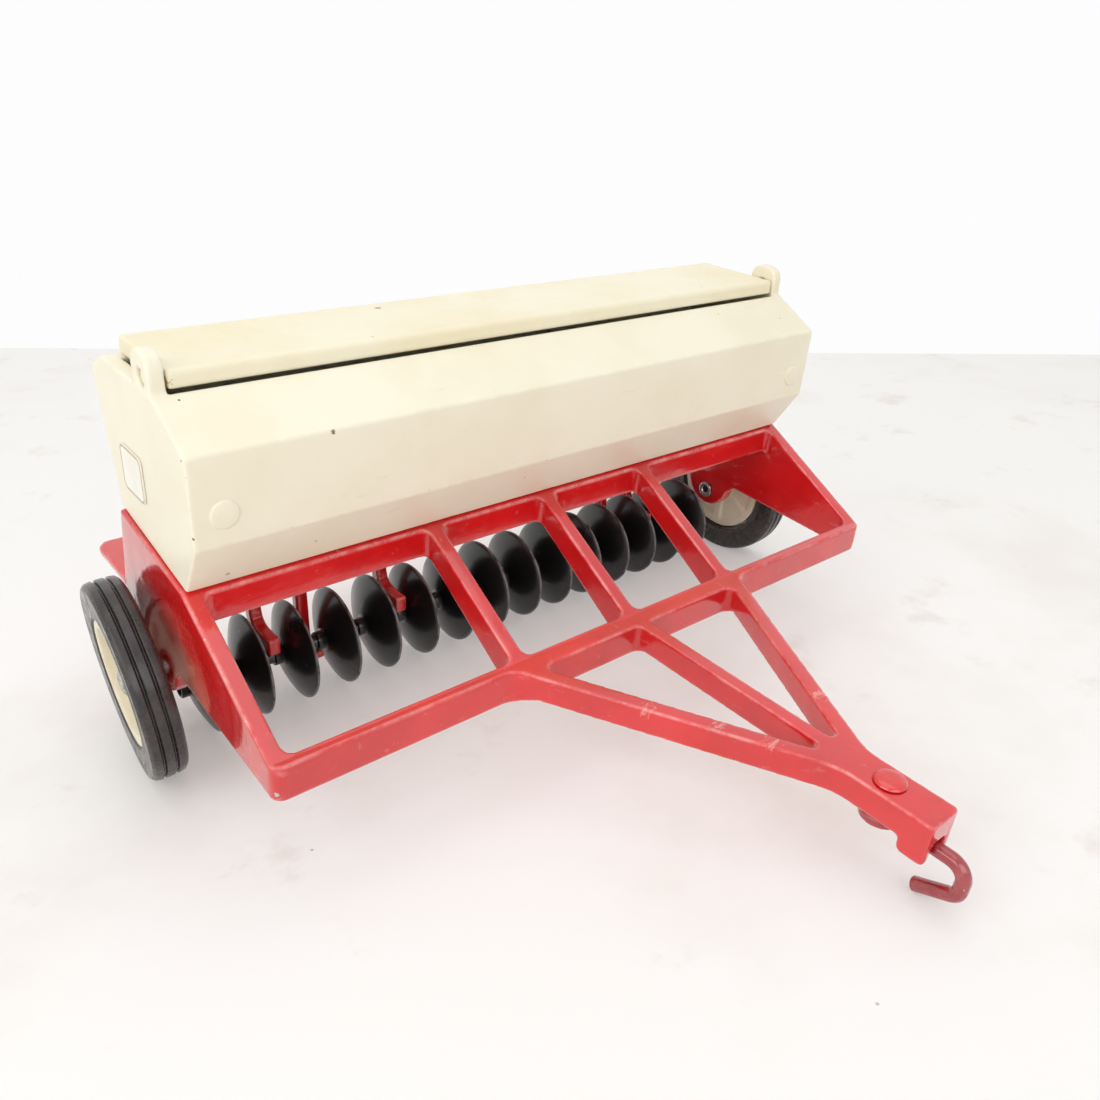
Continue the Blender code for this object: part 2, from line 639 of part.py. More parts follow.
def hopper(parts, tools, paint):
    body = side_profile("hopper", hopper_side(0.0), -HOPPER_HALF_LENGTH,
                        HOPPER_HALF_LENGTH, parts)
    ear_inner = HOPPER_HALF_LENGTH - EAR_THICKNESS
    for side in (-1, 1):
        edges = sorted((side * ear_inner, side * (HOPPER_HALF_LENGTH - CAST_STEP)))
        boolean(body, side_profile(f"ear {side}", ear_side(), *edges, tools), "UNION")
    cavity = side_profile("hopper cavity", hopper_side(HOPPER_WALL), -ear_inner, ear_inner,
                          tools)
    boolean(body, cavity, "DIFFERENCE")
    for side in (-1, 1):
        hole = cylinder(f"ear hole {side}", TRUNNION_RADIUS + TRUNNION_PLAY,
                        (side * (ear_inner - 1.0 * MM), HINGE_Y, hinge_z()),
                        (side * (HOPPER_HALF_LENGTH + 1.0 * MM), HINGE_Y, hinge_z()),
                        20, tools)
        boolean(body, hole, "DIFFERENCE")
        plug_hole = cylinder(f"plug hole {side}", PLUG_SHANK_RADIUS + GAP,
                             (side * PLUG_X, HOPPER_FRONT_Y - 1.0 * MM, PLUG_Z),
                             (side * PLUG_X, HOPPER_FRONT_Y + HOPPER_WALL + 1.0 * MM,
                              PLUG_Z), 16, tools)
        boolean(body, plug_hole, "DIFFERENCE")
    return finish_piece(body, "hopper", paint)


def lid(parts, tools, paint):
    """Flat cast lid, hollow below, with a rounded nose and a trunnion at each end."""
    low = HOPPER_TOP_Z + GAP
    top = low + LID_THICKNESS
    nose = LID_THICKNESS * 0.25
    section = fillet([(LID_FRONT_Y, low), (LID_REAR_Y, low), (LID_REAR_Y, top),
                      (LID_FRONT_Y, top)], [LID_LOW_EDGE, LID_LOW_EDGE, 0.8 * MM, nose])
    cover = side_profile("lid", section, -LID_HALF_LENGTH, LID_HALF_LENGTH, parts)
    recess_front = HINGE_Y + TRUNNION_RADIUS + 2.0 * MM
    recess = box("lid recess",
                 (-LID_HALF_LENGTH + LID_RIM, recess_front, low - 1.0 * MM),
                 (LID_HALF_LENGTH - LID_RIM, LID_REAR_Y - LID_RIM, low + LID_RECESS),
                 tools)
    boolean(cover, recess, "DIFFERENCE")
    end = HOPPER_HALF_LENGTH - EAR_THICKNESS * 0.25
    pin = cylinder("trunnions", TRUNNION_RADIUS, (-end, HINGE_Y, hinge_z()),
                   (end, HINGE_Y, hinge_z()), 20, tools)
    boolean(cover, pin, "UNION")
    return finish_piece(cover, "lid", paint, pivot=Matrix.Translation((0.0, HINGE_Y, hinge_z())))


def plugs(parts, paint):
    """Painted plugs with low domed heads in the hopper's front wall."""
    for side, word in ((-1, "left"), (1, "right")):
        head = PLUG_PROUD + GAP
        shank = HOPPER_WALL + 0.6 * MM
        profile = [(0.0, head), (PLUG_RADIUS * 0.8, head - 0.05 * MM),
                   (PLUG_RADIUS, GAP + 0.1 * MM), (PLUG_RADIUS, GAP * 0.5),
                   (PLUG_SHANK_RADIUS, GAP * 0.5), (PLUG_SHANK_RADIUS, -shank),
                   (0.0, -shank)]
        place = (side * PLUG_X, HOPPER_FRONT_Y, PLUG_Z)
        plug = turned("plug", profile, 24, "Z", place, parts)
        plug.rotation_euler = (math.pi / 2.0, 0.0, 0.0)
        finish_piece(plug, f"hopper_plug_{word}", paint)


def label(parts, paper):
    width, height = LABEL_SIZE
    middle_y, middle_z = LABEL_CENTRE
    corners = [(middle_y + sy * width / 2.0, middle_z + sz * height / 2.0)
               for sy, sz in ((-1, -1), (1, -1), (1, 1), (-1, 1))]
    outer = -HOPPER_HALF_LENGTH - LABEL_GAP
    plate = side_profile("end_label", fillet(corners, [LABEL_CORNER] * 4),
                         outer - LABEL_THICKNESS, outer, parts)
    finish_piece(plate, "end_label", paper)


# ---------------------------------------------------------------- wheels

def tyre_profile():
    """Three flat ribs with two grooves between them, from outer face to inner face."""
    half = TYRE_WIDTH / 2.0
    edge = TYRE_SHOULDER / 2.0
    outline = [(TYRE_BEAD_RADIUS, half - TYRE_SHOULDER),
               (TYRE_BEAD_RADIUS + 2.0 * TYRE_SHOULDER, half),
               (TYRE_RADIUS - 2.0 * TYRE_SHOULDER, half),
               (TYRE_RADIUS - edge, half - TYRE_SHOULDER)]
    groove = TYRE_RADIUS - RIB_GROOVE
    third = TYRE_WIDTH / 6.0
    for centre in (third, -third):
        outline.append((TYRE_RADIUS, centre + GROOVE_WIDTH))
        outline.append((groove, centre + GROOVE_WIDTH * 0.4))
        outline.append((groove, centre - GROOVE_WIDTH * 0.4))
        outline.append((TYRE_RADIUS, centre - GROOVE_WIDTH))
    outline += [(TYRE_RADIUS - edge, -half + TYRE_SHOULDER),
                (TYRE_RADIUS - 2.0 * TYRE_SHOULDER, -half),
                (TYRE_BEAD_RADIUS + 2.0 * TYRE_SHOULDER, -half),
                (TYRE_BEAD_RADIUS, -half + TYRE_SHOULDER)]
    return outline


def rim_profile():
    """Cast rim: outer band, recessed thin web and a hub bored for the axle rivet."""
    outer = TYRE_WIDTH / 2.0 - RIM_RECESS
    inner = -RIM_WIDTH / 2.0
    seat = TYRE_BEAD_RADIUS - GAP
    inside = seat - RIM_BAND
    web_out = RIM_WEB / 2.0 - WEB_SHIFT
    web_in = -RIM_WEB / 2.0 - WEB_SHIFT
    hub_in = -(TYRE_WIDTH / 2.0 + WHEEL_OFFSET - GAP - AXLE_END_PLAY)
    return [(0.0, HUB_FACE), (HUB_RADIUS - HUB_TAPER, HUB_FACE), (HUB_RADIUS, web_out),
            (inside - 1.0 * MM, web_out), (inside, outer), (seat, outer), (seat, inner),
            (inside, inner), (inside - 1.0 * MM, web_in), (HUB_RADIUS, web_in),
            (HUB_RADIUS - HUB_TAPER, hub_in), (0.0, hub_in)]


def wheel_seat(side, lean):
    """Place of one wheel: its X axis is the axis it spins about."""
    place = Matrix.Translation((side * wheel_middle_x(), 0.0, 0.0))
    return place @ Euler((0.0, *lean)).to_matrix().to_4x4()


def wheel(side, word, lean, parts, tools, rubber, paint):
    """Tyre and spoked rim, bored for the axle rivet and leaning on it."""
    seat = wheel_seat(side, lean)
    outwards = seat @ Matrix.Rotation(side * math.pi / 2.0, 4, "Y")
    tyre = turned("tyre", tyre_profile(), 40, "Z", (0, 0, 0), parts)
    tyre.matrix_world = outwards
    rim = turned("rim", rim_profile(), 40, "Z", (0, 0, 0), parts)
    rim.matrix_world = outwards
    reach = TYRE_BEAD_RADIUS - RIM_BAND / 2.0
    depth = RIM_WEB / 2.0 + SPOKE_HEIGHT
    shift = -side * WEB_SHIFT
    for index in range(SPOKE_COUNT // 2):
        spoke = box(f"spokes {word} {index}", (shift - depth, -SPOKE_WIDTH / 2.0, -reach),
                    (shift + depth, SPOKE_WIDTH / 2.0, reach), tools)
        turn = 2.0 * math.pi * index / SPOKE_COUNT
        spoke.matrix_world = seat @ Matrix.Rotation(turn, 4, "X")
        boolean(rim, spoke, "UNION")
    bore = cylinder(f"rim bore {word}", AXLE_RADIUS + AXLE_PLAY, (-2.0 * RIM_WIDTH, 0, 0),
                    (2.0 * RIM_WIDTH, 0, 0), 24, tools)
    bore.matrix_world = seat
    boolean(rim, bore, "DIFFERENCE")
    finish_piece(tyre, f"tyre_{word}", rubber, pivot=seat)
    finish_piece(rim, f"rim_{word}", paint, pivot=seat)


def axle_rivet(side, word, parts, steel):
    """Headed rivet through the rim into the side plate, its hollow end rolled over inside."""
    head = wheel_middle_x() + HUB_FACE + AXLE_END_PLAY + GAP
    tail = inner_plate_x() - GAP
    flare = tail - EYELET_LIP
    profile = [(0.0, head + AXLE_HEAD_HEIGHT),
               (AXLE_HEAD_RADIUS * 0.6, head + AXLE_HEAD_HEIGHT * 0.85),
               (AXLE_HEAD_RADIUS, head + AXLE_HEAD_HEIGHT * 0.3), (AXLE_HEAD_RADIUS, head),
               (AXLE_RADIUS, head), (AXLE_RADIUS, tail), (EYELET_RADIUS, tail),
               (EYELET_RADIUS - 0.3 * MM, flare), (EYELET_BORE + 0.2 * MM, flare),
               (EYELET_BORE, flare + 0.4 * MM), (EYELET_BORE, flare + EYELET_BORE_DEPTH),
               (0.0, flare + EYELET_BORE_DEPTH)]
    rivet = turned("axle rivet", profile, 24, "X", (0, 0, 0), parts)
    if side < 0:
        rivet.rotation_euler.y = -math.pi / 2.0
    finish_piece(rivet, f"axle_rivet_{word}", steel)


# ---------------------------------------------------------------- disc gang

def disc_profile():
    """Dished disc whose hollow side faces right, with a hub on its crowned left side."""
    bore = SHAFT_RADIUS + SHAFT_PLAY / 2.0
    hub_top = DISC_DISH + DISC_HUB_LENGTH
    mid = DISC_RADIUS * 0.55
    return [(bore, hub_top), (DISC_HUB_RADIUS, hub_top),
            (DISC_HUB_RADIUS, DISC_DISH + DISC_THICKNESS / 2.0),
            (mid, DISC_DISH * 0.62 + DISC_THICKNESS / 2.0),
            (DISC_RADIUS, 0.2 * MM), (DISC_RADIUS, -0.2 * MM),
            (mid, DISC_DISH * 0.62 - DISC_THICKNESS / 2.0),
            (bore, DISC_DISH - DISC_THICKNESS / 2.0)]


def disc_gang(parts, plastic, steel):
    """Shaft and discs; the shaft runs a little past the outermost discs."""
    ends = disc_x(1) - SHAFT_OVERHANG, disc_x(DISC_COUNT) + SHAFT_OVERHANG
    shaft = cylinder("gang_shaft", SHAFT_RADIUS, (ends[0], GANG_Y, GANG_Z),
                     (ends[1], GANG_Y, GANG_Z), 24, parts)
    middle = Matrix.Translation((GANG_X, GANG_Y, GANG_Z))
    finish_piece(shaft, "gang_shaft", steel, pivot=middle)
    for number in range(1, DISC_COUNT + 1):
        place = (disc_x(number), GANG_Y, GANG_Z)
        disc = turned("disc", disc_profile(), 24, "X", place, parts)
        disc.rotation_euler.y = -math.pi / 2.0
        finish_piece(disc, f"disc_{number:02d}", plastic, pivot=Matrix.Translation(place))


# ---------------------------------------------------------------- hitch

def hook_route():
    """Centre line of the hook's wire in the Y-Z plane, from the eye to the tip."""
    start = Vector((RIVET_Y - RIVET_SHANK_RADIUS - 1.5 * MM, wire_z()))
    top_centre = Vector((RIVET_Y - HOOK_REACH, wire_z() - HOOK_TOP_BEND))
    points = [start]
    for step in range(9):
        angle = math.radians(90 + step * 90 / 8)
        points.append(top_centre + HOOK_TOP_BEND * Vector((math.cos(angle),
                                                           math.sin(angle))))
    low_centre = Vector((top_centre.x - HOOK_TOP_BEND + HOOK_LOW_BEND,
                         top_centre.y - HOOK_DROP))
    sweep = math.pi / 2.0 - HOOK_RETURN_SLOPE
    for step in range(8):
        angle = math.pi + sweep * step / 7
        points.append(low_centre + HOOK_LOW_BEND * Vector((math.cos(angle),
                                                           math.sin(angle))))
    heading = Vector((math.cos(HOOK_RETURN_SLOPE), -math.sin(HOOK_RETURN_SLOPE)))
    points.append(points[-1] + heading * HOOK_RETURN)
    return points


def hitch_hook(parts, tools, paint):
    curve = bpy.data.curves.new("hook wire", "CURVE")
    curve.dimensions = "3D"
    curve.bevel_depth = WIRE_RADIUS
    curve.bevel_resolution = 3
    curve.use_fill_caps = True
    route = hook_route()
    spline = curve.splines.new("POLY")
    spline.points.add(len(route) - 1)
    for target, source in zip(spline.points, route):
        target.co = (0.0, source.x, source.y, 1.0)
    obj = bpy.data.objects.new("hitch_hook", curve)
    parts.objects.link(obj)
    wire = mesh_of(obj, parts)
    middle = wire_z()
    eye = cylinder("hook eye", EYE_RADIUS, (0, RIVET_Y, middle - EYE_THICKNESS / 2.0),
                   (0, RIVET_Y, middle + EYE_THICKNESS / 2.0), 28, tools)
    boolean(wire, eye, "UNION")
    hole = cylinder("hook eye hole", RIVET_SHANK_RADIUS + GAP,
                    (0, RIVET_Y, middle - 5.0 * MM), (0, RIVET_Y, middle + 5.0 * MM), 20,
                    tools)
    boolean(wire, hole, "DIFFERENCE")
    return finish_piece(wire, "hitch_hook", paint,
                        pivot=Matrix.Translation((0.0, RIVET_Y, middle)))


def hitch_rivet(parts, paint):
    """Domed rivet head on the tongue, shank through it, clenched below the hook's eye."""
    top = TONGUE_TOP_Z + GAP
    low = wire_z() - EYE_THICKNESS / 2.0 - GAP
    clench = RIVET_SHANK_RADIUS + 1.3 * MM
    profile = [(0.0, top + RIVET_HEAD_HEIGHT),
               (RIVET_HEAD_RADIUS * 0.55, top + RIVET_HEAD_HEIGHT * 0.88),
               (RIVET_HEAD_RADIUS * 0.9, top + RIVET_HEAD_HEIGHT * 0.45),
               (RIVET_HEAD_RADIUS, top), (RIVET_SHANK_RADIUS, top),
               (RIVET_SHANK_RADIUS, low), (clench, low), (clench * 0.8, low - 0.7 * MM),
               (0.0, low - 0.9 * MM)]
    rivet = turned("hitch rivet", profile, 24, "Z", (0.0, RIVET_Y, 0.0), parts)
    finish_piece(rivet, "hitch_rivet", paint)


# ---------------------------------------------------------------- stance

def stance_tilt():
    """Nose-down angle at which the tyres and the hook's tip share one floor."""
    tip = hook_route()[-1]
    heading = Vector((-math.sin(HOOK_RETURN_SLOPE), -math.cos(HOOK_RETURN_SLOPE)))
    lowest = tip + heading * WIRE_RADIUS
    reach = math.hypot(lowest.x, lowest.y)
    lean = abs(LEFT_LEAN[0])
    axle_height = max(radius * math.cos(lean) + abs(offset) * math.sin(lean)
                      for radius, offset in tyre_profile())
    return math.asin(axle_height / reach) - math.atan2(-lowest.y, -lowest.x)


def stand_on_floor(parts):
    """Tip the toy onto its tyres and hook, then put its footprint's middle at the origin."""
    STANCE.rotation_euler.x = stance_tilt()
    bpy.context.view_layer.update()
    graph = bpy.context.evaluated_depsgraph_get()
    corners = []
    for obj in parts.objects:
        mesh = obj.evaluated_get(graph).to_mesh()
        corners += [obj.matrix_world @ vertex.co for vertex in mesh.vertices]
    depths = [corner.y for corner in corners]
    STANCE.location.y = -(min(depths) + max(depths)) / 2.0
    STANCE.location.z = -min(corner.z for corner in corners)
    bpy.context.view_layer.update()


clear_scene()
PARTS = new_collection("grain drill")
TOOLS = new_collection("cutters")
STANCE = bpy.data.objects.new("stance", None)
new_collection("stance").objects.link(STANCE)

RED_PAINT = material("red paint", RED, 0.28)
CREAM_PAINT = material("cream paint", CREAM, 0.4)
BLACK_PLASTIC = material("black plastic", BLACK, 0.35)
BLACK_RUBBER = material("black rubber", RUBBER, 0.5)
BARE_STEEL = material("bare steel", STEEL, 0.3, metallic=1.0)
LABEL_PAPER = material("label paper", PAPER, 0.5)

frame_casting(PARTS, TOOLS, RED_PAINT)
footboard(PARTS, TOOLS, RED_PAINT)
hopper(PARTS, TOOLS, CREAM_PAINT)
lid(PARTS, TOOLS, CREAM_PAINT)
plugs(PARTS, CREAM_PAINT)
label(PARTS, LABEL_PAPER)
for SIDE, WORD, LEAN in ((-1, "left", LEFT_LEAN), (1, "right", RIGHT_LEAN)):
    wheel(SIDE, WORD, LEAN, PARTS, TOOLS, BLACK_RUBBER, CREAM_PAINT)
    axle_rivet(SIDE, WORD, PARTS, BARE_STEEL)
disc_gang(PARTS, BLACK_PLASTIC, BLACK_PLASTIC)
hitch_hook(PARTS, TOOLS, RED_PAINT)
hitch_rivet(PARTS, RED_PAINT)
stand_on_floor(PARTS)
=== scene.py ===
"""Toy grain drill in its finishes: red cast frame, cream seed hopper with a hinged lid,
ribbed rubber wheels, a gang of black discs and a wire hitch hook, standing on a pale table.
"""
import json
import math

import bmesh
import bpy
import numpy as np
from mathutils import Euler, Matrix, Vector
from mathutils.bvhtree import BVHTree
from mathutils.kdtree import KDTree


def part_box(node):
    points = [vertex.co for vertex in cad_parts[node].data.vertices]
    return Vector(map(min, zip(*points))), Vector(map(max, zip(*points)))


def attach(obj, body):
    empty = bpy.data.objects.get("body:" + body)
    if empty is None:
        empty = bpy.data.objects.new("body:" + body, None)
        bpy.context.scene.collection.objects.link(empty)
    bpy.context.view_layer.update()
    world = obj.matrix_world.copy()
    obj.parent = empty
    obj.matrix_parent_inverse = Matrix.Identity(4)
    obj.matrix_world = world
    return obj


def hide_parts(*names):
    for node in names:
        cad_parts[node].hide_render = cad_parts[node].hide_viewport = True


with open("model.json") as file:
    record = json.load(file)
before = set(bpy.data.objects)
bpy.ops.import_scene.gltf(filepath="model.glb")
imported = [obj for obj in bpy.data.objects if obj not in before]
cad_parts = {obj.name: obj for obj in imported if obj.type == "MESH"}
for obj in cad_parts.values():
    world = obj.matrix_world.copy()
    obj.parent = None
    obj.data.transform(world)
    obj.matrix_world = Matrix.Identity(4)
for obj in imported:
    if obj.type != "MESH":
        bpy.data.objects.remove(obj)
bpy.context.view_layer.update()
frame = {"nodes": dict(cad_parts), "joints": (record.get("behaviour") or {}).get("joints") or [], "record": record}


# ---------------------------------------------------------------- frame casting
# One zinc die casting: ladder deck, side plates, tongue and the hangers of the disc gang.
# It was dipped in gloss red enamel, which is chipped at the corners and pale pink along the edges, partly where
# rubbed thin and partly as a painted highlight.

def ease(low, high, values):
    """0 below low, 1 above high, and a smooth rise between them."""
    share = np.clip((values - low) / (high - low), 0.0, 1.0)
    return share * share * (3.0 - 2.0 * share)


def relaxed(points, edges, rounds, regrow):
    """Points drawn towards their neighbours; regrow undoes the shrinking after each round."""
    first, second = edges[:, 0], edges[:, 1]
    ends = np.concatenate((first, second))
    others = np.concatenate((second, first))
    count = np.bincount(ends, minlength=len(points))[:, None]
    points = points.copy()
    for _ in range(rounds):
        for pull in (0.5, regrow):
            if pull:
                total = np.stack([np.bincount(ends, points[others, axis], len(points))
                                  for axis in range(3)], axis=1)
                points += pull * (total / count - points)
    return points


class Edges:
    """Edges of a casting whose two faces meet at an angle between low and high."""

    def __init__(self, form, low, high, spacing):
        rows, marks = [], []
        for edge in form.edges:
            if len(edge.link_faces) == 2 and low < edge.calc_face_angle(0.0) <= high:
                start, end = edge.verts[0].co, edge.verts[1].co
                first, second = (face.normal for face in edge.link_faces)
                outward = 1.0 if edge.is_convex else -1.0
                steps = max(1, int((end - start).length / spacing))
                marks += [(start.lerp(end, step / steps), len(rows))
                          for step in range(steps + 1)]
                rows.append([*start, *(end - start).normalized(), *first, *second, outward])
        self.tree = KDTree(len(marks))
        for place, row in marks:
            self.tree.insert(place, row)
        self.tree.balance()
        self.rows = np.array(rows)

    def nearest(self, points):
        """For each point the row of the nearest edge, and how far off that edge is."""
        found = [self.tree.find(point) for point in points]
        return (np.array([row for _, row, _ in found], dtype=int),
                np.array([distance for _, _, distance in found]))


def rounded_off(points, edges, radius):
    """Moves surface points near a sharp edge onto an arc that touches both its faces."""
    rows, away = edges.nearest(points)
    data = edges.rows[rows]
    start, along, first, second = (data[:, at:at + 3] for at in (0, 3, 6, 9))
    sign = data[:, 12:13]
    meeting = np.sum(first * second, axis=1, keepdims=True)
    slope = (points - start) - np.sum((points - start) * along, 1, keepdims=True) * along
    tangent = radius * np.sqrt((1.0 - meeting) / np.maximum(1.0 + meeting, 0.05))
    centre = -sign * radius * (first + second) / np.maximum(1.0 + meeting, 0.05)
    spoke = slope - centre
    arc = centre + radius * spoke / np.maximum(np.linalg.norm(spoke, axis=1)[:, None], 1e-9)
    near = (np.linalg.norm(slope, axis=1)[:, None] < tangent) & (away[:, None] < 3 * radius)
    return points + near * (arc - slope), away


def put(name, data):
    """New object in the scene."""
    made = bpy.data.objects.new(name, data)
    bpy.context.scene.collection.objects.link(made)
    return made


def cast_copy(node, grain, radius, keep, body, rounds=2):
    """Fine copy of a cast piece: flats stay true, and every edge and corner is rounded."""
    form = bmesh.new()
    form.from_mesh(frame["nodes"][node].data)
    bmesh.ops.remove_doubles(form, verts=form.verts, dist=2e-6)
    sharp = Edges(form, math.radians(30), math.pi, grain * 0.4)
    soft = Edges(form, math.radians(4), math.radians(30), grain)
    surface = BVHTree.FromBMesh(form)
    mesh = bpy.data.meshes.new(node + "_fine")
    form.to_mesh(mesh)
    form.free()
    piece = put(node + "_fine", mesh)
    voxels = piece.modifiers.new("grain", "REMESH")
    voxels.mode = "VOXEL"
    voxels.voxel_size = grain
    applied(piece)
    points = np.empty(len(piece.data.vertices) * 3)
    piece.data.vertices.foreach_get("co", points)
    edges = np.empty(len(piece.data.edges) * 2, dtype=np.int32)
    piece.data.edges.foreach_get("vertices", edges)
    edges = edges.reshape(-1, 2)
    true = np.array([surface.find_nearest(point)[0] for point in points.reshape(-1, 3)])
    arced, from_sharp = rounded_off(true, sharp, radius)
    curved = relaxed(true, edges, rounds=24, regrow=-0.53)
    on_flat = ease(0.0012, 0.0024, soft.nearest(true)[1])[:, None]
    placed = curved + on_flat * (true - curved)
    by_edge = 1.0 - ease(radius * 1.6, radius * 2.6, from_sharp)[:, None]
    placed = placed + by_edge * (arced - placed)
    eased = relaxed(placed, edges, rounds, regrow=0.0)
    placed = placed + by_edge * (eased - placed)
    piece.data.vertices.foreach_set("co", placed.ravel())
    fewer = piece.modifiers.new("fewer faces", "DECIMATE")
    fewer.ratio = keep
    applied(piece)
    wear = piece.data.attributes.new("wear", "FLOAT", "POINT")
    ends = [vertex.co for vertex in piece.data.vertices]
    wear.data.foreach_set("value", 1.0 - ease(0.0001, 0.0009, sharp.nearest(ends)[1]))
    piece.data.polygons.foreach_set("use_smooth", [True] * len(piece.data.polygons))
    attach(piece, body)
    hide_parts(node)
    return piece


def applied(piece):
    """Turns a piece's modifiers into its mesh."""
    graph = bpy.context.evaluated_depsgraph_get()
    mesh = bpy.data.meshes.new_from_object(piece.evaluated_get(graph))
    piece.modifiers.clear()
    piece.data = mesh


class Level:
    """What a node gives out: a number, colour or shader; arithmetic on it adds Math nodes."""

    def __init__(self, nodes, socket):
        self.nodes = nodes
        self.socket = socket

    def maths(self, operation, first, second):
        settings = {"operation": operation}
        return self.nodes.node("ShaderNodeMath", settings, {0: first, 1: second})

    def __add__(self, other):
        return self.maths("ADD", self, other)

    def __sub__(self, other):
        return self.maths("SUBTRACT", self, other)

    def __rsub__(self, other):
        return self.maths("SUBTRACT", other, self)

    def __mul__(self, other):
        return self.maths("MULTIPLY", self, other)

    def __pow__(self, other):
        return self.maths("POWER", self, other)

    def __gt__(self, other):
        return self.maths("GREATER_THAN", self, other)

    __radd__ = __add__
    __rmul__ = __mul__


class Nodes:
    """The nodes of a finish or of the surround; every new one is made by the same method."""

    def __init__(self, tree):
        self.tree = tree

    def fill(self, node, inputs):
        """Sets a node's sockets, or links them where the value varies."""
        for key, value in inputs.items():
            if isinstance(value, Level):
                self.tree.links.new(value.socket, node.inputs[key])
            else:
                node.inputs[key].default_value = value

    def node(self, kind, settings, inputs, output=0):
        """Adds a node; settings go in before its sockets, a ramp's stops among them."""
        made = self.tree.nodes.new(kind)
        for key, value in settings.items():
            if key == "stops":
                ramp = made.color_ramp.elements
                while len(ramp) < len(value):
                    ramp.new(1.0)
                for stop, (position, colour) in zip(ramp, value):
                    stop.position = position
                    stop.color = (*colour, 1.0)
            else:
                setattr(made, key, value)
        self.fill(made, inputs)
        return Level(self, made.outputs[output])


class Finish(Nodes):
    """A paint, rubber or metal finish: one Principled shader and the nodes that vary it."""

    def __init__(self, name, plain):
        self.material = bpy.data.materials.new(name)
        self.material.use_nodes = True
        super().__init__(self.material.node_tree)
        self.shader = self.tree.nodes["Principled BSDF"]
        self.fill(self.shader, plain)
        self.place = self.node("ShaderNodeTexCoord", {}, {}, "Object")

    def grain(self, scale, detail=3.0, roughness=0.5, stretch=(1.0, 1.0, 1.0)):
        """Cloudy noise from about 0.3 to 0.7, at so many lumps to the metre."""
        place = self.place
        if stretch != (1.0, 1.0, 1.0):
            place = self.node("ShaderNodeVectorMath", {"operation": "MULTIPLY"},
                              {0: self.place, 1: stretch})
        return self.node("ShaderNodeTexNoise", {},
                         {"Vector": place, "Scale": scale, "Detail": detail,
                          "Roughness": roughness})

    def between(self, level, low, high):
        """0 where the level is below low, 1 above high, smooth between."""
        return self.node("ShaderNodeMapRange", {"interpolation_type": "SMOOTHSTEP"},
                         {"Value": level, "From Min": low, "From Max": high})

    def specks(self, scale, share, size):
        """Small round specks: a share of the cells of a Voronoi pattern has one."""
        settings = {"feature": "F1"}
        inputs = {"Vector": self.place, "Scale": scale}
        near = self.node("ShaderNodeTexVoronoi", settings, inputs, "Distance")
        tint = self.node("ShaderNodeTexVoronoi", settings, inputs, "Color")
        lot = self.node("ShaderNodeSeparateColor", {}, {0: tint}, 0)
        spot = 1.0 - self.between(near, size * 0.5, size)
        return spot * (lot > 1.0 - share)

    def blend(self, level, below, above):
        """Colour that goes from one tone to another as the level goes from 0 to 1."""
        tones = {}
        for key, tone in ((6, below), (7, above)):
            tones[key] = tone if isinstance(tone, Level) else (*tone, 1.0)
        return self.node("ShaderNodeMix", {"data_type": "RGBA"}, {0: level, **tones}, 2)

    def patches(self, spots):
        """1 in a ragged patch round each spot, 0 elsewhere; a spot is (place, radius)."""
        total = 0.0
        for place, radius in spots:
            apart = self.node("ShaderNodeVectorMath", {"operation": "DISTANCE"},
                              {0: self.place, 1: tuple(place)}, "Value")
            ragged = apart + (self.grain(1400.0, 4.0, 0.7) - 0.5) * (radius * 2.4)
            total = (1.0 - self.between(ragged, radius * 0.8, radius)) + total
        return total

    def bump(self, height, depth, under=None):
        """Normal of a surface whose height runs over so many metres."""
        inputs = {"Height": height, "Distance": depth, "Strength": 1.0}
        if under:
            inputs["Normal"] = under
        return self.node("ShaderNodeBump", {}, inputs)

    def wear(self):
        """1 on the edges of a cast piece, 0 on its flats."""
        return self.node("ShaderNodeAttribute", {"attribute_name": "wear"}, {}, "Fac")


def nose_down():
    """Angle by which the toy stands nose down, from the slope of its tongue's top."""
    for mount in frame["record"]["mounts"]:
        if mount["name"] == "tongue_top":
            return math.atan2(-mount["axis"][1], mount["axis"][2])


STANCE = Euler((nose_down(), 0.0, 0.0)).to_matrix().to_4x4()


def points_from(seat, node):
    """A node's points, measured from a seat and along its axes."""
    back = seat.inverted()
    return [back @ vertex.co for vertex in frame["nodes"][node].data.vertices]


def spans(points):
    """Lowest and highest value of the points along each axis."""
    return [(min(point[axis] for point in points), max(point[axis] for point in points))
            for axis in range(3)]


def spot_on(node, shares):
    """Place at these shares of a node's length, depth and height, measured level."""
    return STANCE @ Vector([low + share * (high - low) for (low, high), share
                            in zip(spans(points_from(STANCE, node)), shares)])


